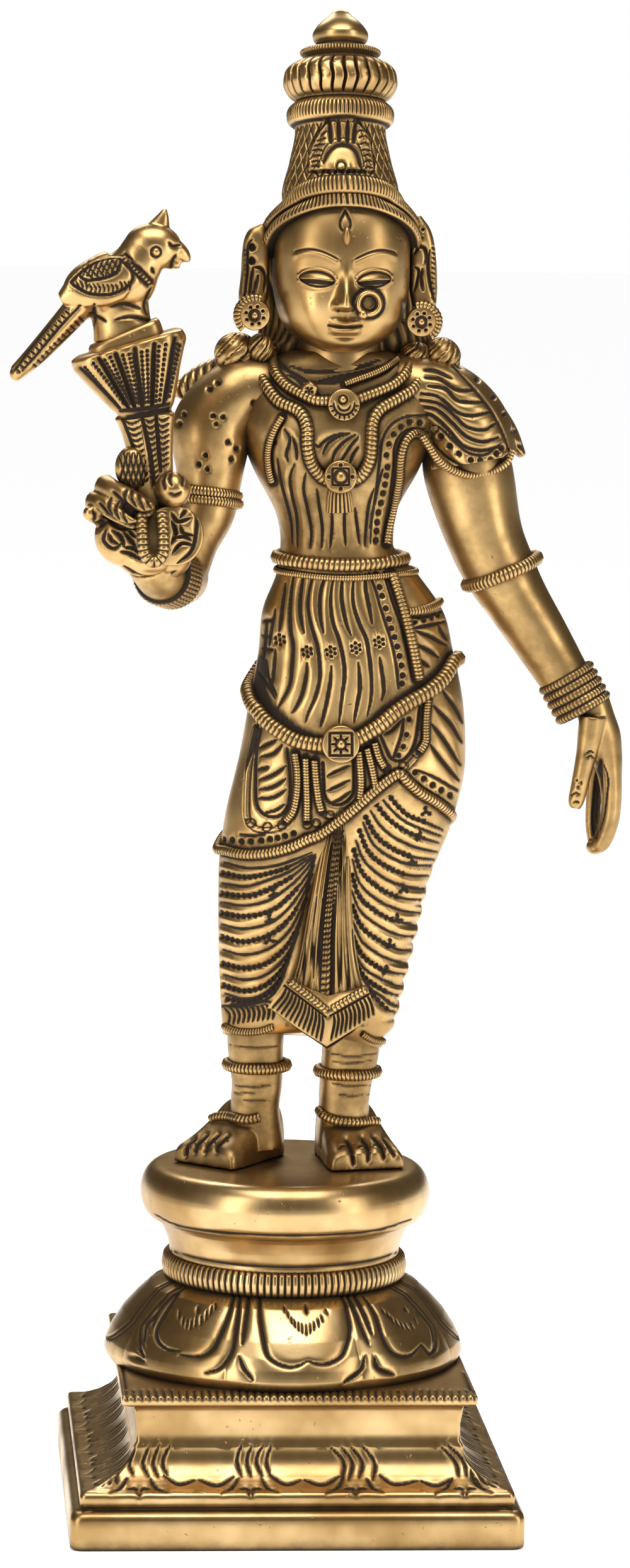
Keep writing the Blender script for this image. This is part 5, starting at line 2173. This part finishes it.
# Settings that a user would change
class GoddessBrass(bpy.types.PropertyGroup):
    gold: bpy.props.FloatVectorProperty(
        name="Polished brass", description="Colour of the polished metal", subtype="COLOR", size=3, min=0, max=1,
        default=(0.68, 0.45, 0.19))
    pale: bpy.props.FloatVectorProperty(
        name="Plinth's brass", description="Colour of the polished metal of the plinth", subtype="COLOR", size=3,
        min=0, max=1, default=(0.73, 0.51, 0.245))
    deep: bpy.props.FloatVectorProperty(
        name="Toned brass", description="Colour of the metal where it has toned down", subtype="COLOR", size=3,
        min=0, max=1, default=(0.46, 0.285, 0.11))
    patina: bpy.props.FloatVectorProperty(
        name="Patina", description="Colour of the dark patina in the cuts", subtype="COLOR", size=3, min=0, max=1,
        default=(0.022, 0.012, 0.005))
    chase: bpy.props.FloatProperty(
        name="Depth of chasing", description="Depth of the cuts and height of the beads, against those of the work",
        default=1.0, min=0.0, max=2.0, subtype="FACTOR")
    rib_pitch: bpy.props.FloatProperty(
        name="Rib spacing", description="Distance from rib to rib of the cords, against their radius", default=0.74,
        min=0.3, max=2.0, subtype="FACTOR")
    rib_depth: bpy.props.FloatProperty(
        name="Rib depth", description="Depth of the grooves of the cords, against their radius", default=0.14,
        min=0.0, max=0.5, subtype="FACTOR")


class GoddessStudio(bpy.types.PropertyGroup):
    paper: bpy.props.FloatVectorProperty(
        name="Paper", description="Colour of the floor and backdrop", subtype="COLOR", size=3, min=0, max=1,
        default=(0.92, 0.92, 0.92))
    strength: bpy.props.FloatProperty(
        name="Lamps", description="Strength of the soft lamps", default=1.0, min=0.0, max=10.0, subtype="FACTOR")
    room: bpy.props.FloatProperty(
        name="Room light", description="Strength of the light from all round", default=0.8, min=0.0, max=4.0,
        subtype="FACTOR")


class GODDESS_OT_dress(bpy.types.Operator):
    """Make the torso, skirt, drape over the legs and the panel between them"""
    bl_idname = "goddess.dress"
    bl_label = "Dress"

    def execute(self, context):
        make_torso()
        make_skirt()
        make_drape()
        make_panel()
        return {"FINISHED"}


class GODDESS_OT_head(bpy.types.Operator):
    """Make the head with its hair, ears and earrings"""
    bl_idname = "goddess.head"
    bl_label = "Head and ears"

    def execute(self, context):
        make_head()
        make_ears()
        make_earrings()
        return {"FINISHED"}


class GODDESS_OT_crown(bpy.types.Operator):
    """Make the crown and the ribbed headbands"""
    bl_idname = "goddess.crown"
    bl_label = "Crown"

    def execute(self, context):
        make_crown()
        make_headbands()
        return {"FINISHED"}


class GODDESS_OT_arms(bpy.types.Operator):
    """Make both arms with their hands and bangles"""
    bl_idname = "goddess.arms"
    bl_label = "Arms and hands"

    def execute(self, context):
        make_raised_arm()
        make_raised_hand()
        make_hanging_arm()
        return {"FINISHED"}


class GODDESS_OT_lotus(bpy.types.Operator):
    """Make the lotus that she holds and the parrot on it"""
    bl_idname = "goddess.lotus"
    bl_label = "Lotus and parrot"

    def execute(self, context):
        make_lotus()
        make_parrot()
        return {"FINISHED"}


class GODDESS_OT_shawl(bpy.types.Operator):
    """Make the cape and the cloth on the other shoulder"""
    bl_idname = "goddess.shawl"
    bl_label = "Cape and shoulder cloth"

    def execute(self, context):
        make_cape()
        make_shoulder_cloth()
        return {"FINISHED"}


class GODDESS_OT_feet(bpy.types.Operator):
    """Make the feet with their toes"""
    bl_idname = "goddess.feet"
    bl_label = "Feet"

    def execute(self, context):
        make_feet()
        return {"FINISHED"}


class GODDESS_OT_jewellery(bpy.types.Operator):
    """Make the necklaces, girdle, ropes, rings and jewels"""
    bl_idname = "goddess.jewellery"
    bl_label = "Jewellery and ropes"

    def execute(self, context):
        make_necklaces()
        make_girdle()
        make_skirt_ropes()
        make_anklets()
        make_jewels()
        return {"FINISHED"}


class GODDESS_OT_plinth(bpy.types.Operator):
    """Make the disc, ribbed collar, lotus and square base that she stands on"""
    bl_idname = "goddess.plinth"
    bl_label = "Plinth"

    def execute(self, context):
        make_disc()
        make_plinth_lotus()
        make_base()
        return {"FINISHED"}


class GODDESS_OT_stage(bpy.types.Operator):
    """Set up the camera, the pale floor and the soft lamps"""
    bl_idname = "goddess.stage"
    bl_label = "Stage"

    def execute(self, context):
        make_stage()
        return {"FINISHED"}


OPERATORS = (GODDESS_OT_stage, GODDESS_OT_dress, GODDESS_OT_head, GODDESS_OT_crown, GODDESS_OT_arms, GODDESS_OT_lotus,
             GODDESS_OT_shawl, GODDESS_OT_feet, GODDESS_OT_jewellery, GODDESS_OT_plinth)


class GODDESS_PT_panel(bpy.types.Panel):
    """Settings and pieces of the brass goddess"""
    bl_label = "Brass goddess"
    bl_space_type = "VIEW_3D"
    bl_region_type = "UI"
    bl_category = "Goddess"

    def draw(self, context):
        for group in (context.scene.goddess_brass, context.scene.goddess_studio):
            for name in group.bl_rna.properties.keys():
                if name not in ("rna_type", "name"):
                    self.layout.prop(group, name)
        for made in OPERATORS:
            self.layout.operator(made.bl_idname)


CLASSES = (GoddessBrass, GoddessStudio, *OPERATORS, GODDESS_PT_panel)


def register():
    for made in CLASSES:
        bpy.utils.register_class(made)
    bpy.types.Scene.goddess_brass = bpy.props.PointerProperty(type=GoddessBrass)
    bpy.types.Scene.goddess_studio = bpy.props.PointerProperty(type=GoddessStudio)


def unregister():
    del bpy.types.Scene.goddess_studio
    del bpy.types.Scene.goddess_brass
    for made in reversed(CLASSES):
        bpy.utils.unregister_class(made)


def main():
    register()
    bpy.ops.goddess.stage()
    bpy.ops.goddess.dress()
    bpy.ops.goddess.head()
    bpy.ops.goddess.crown()
    bpy.ops.goddess.arms()
    bpy.ops.goddess.lotus()
    bpy.ops.goddess.shawl()
    bpy.ops.goddess.feet()
    bpy.ops.goddess.jewellery()
    bpy.ops.goddess.plinth()


if __name__ == "__main__":
    main()
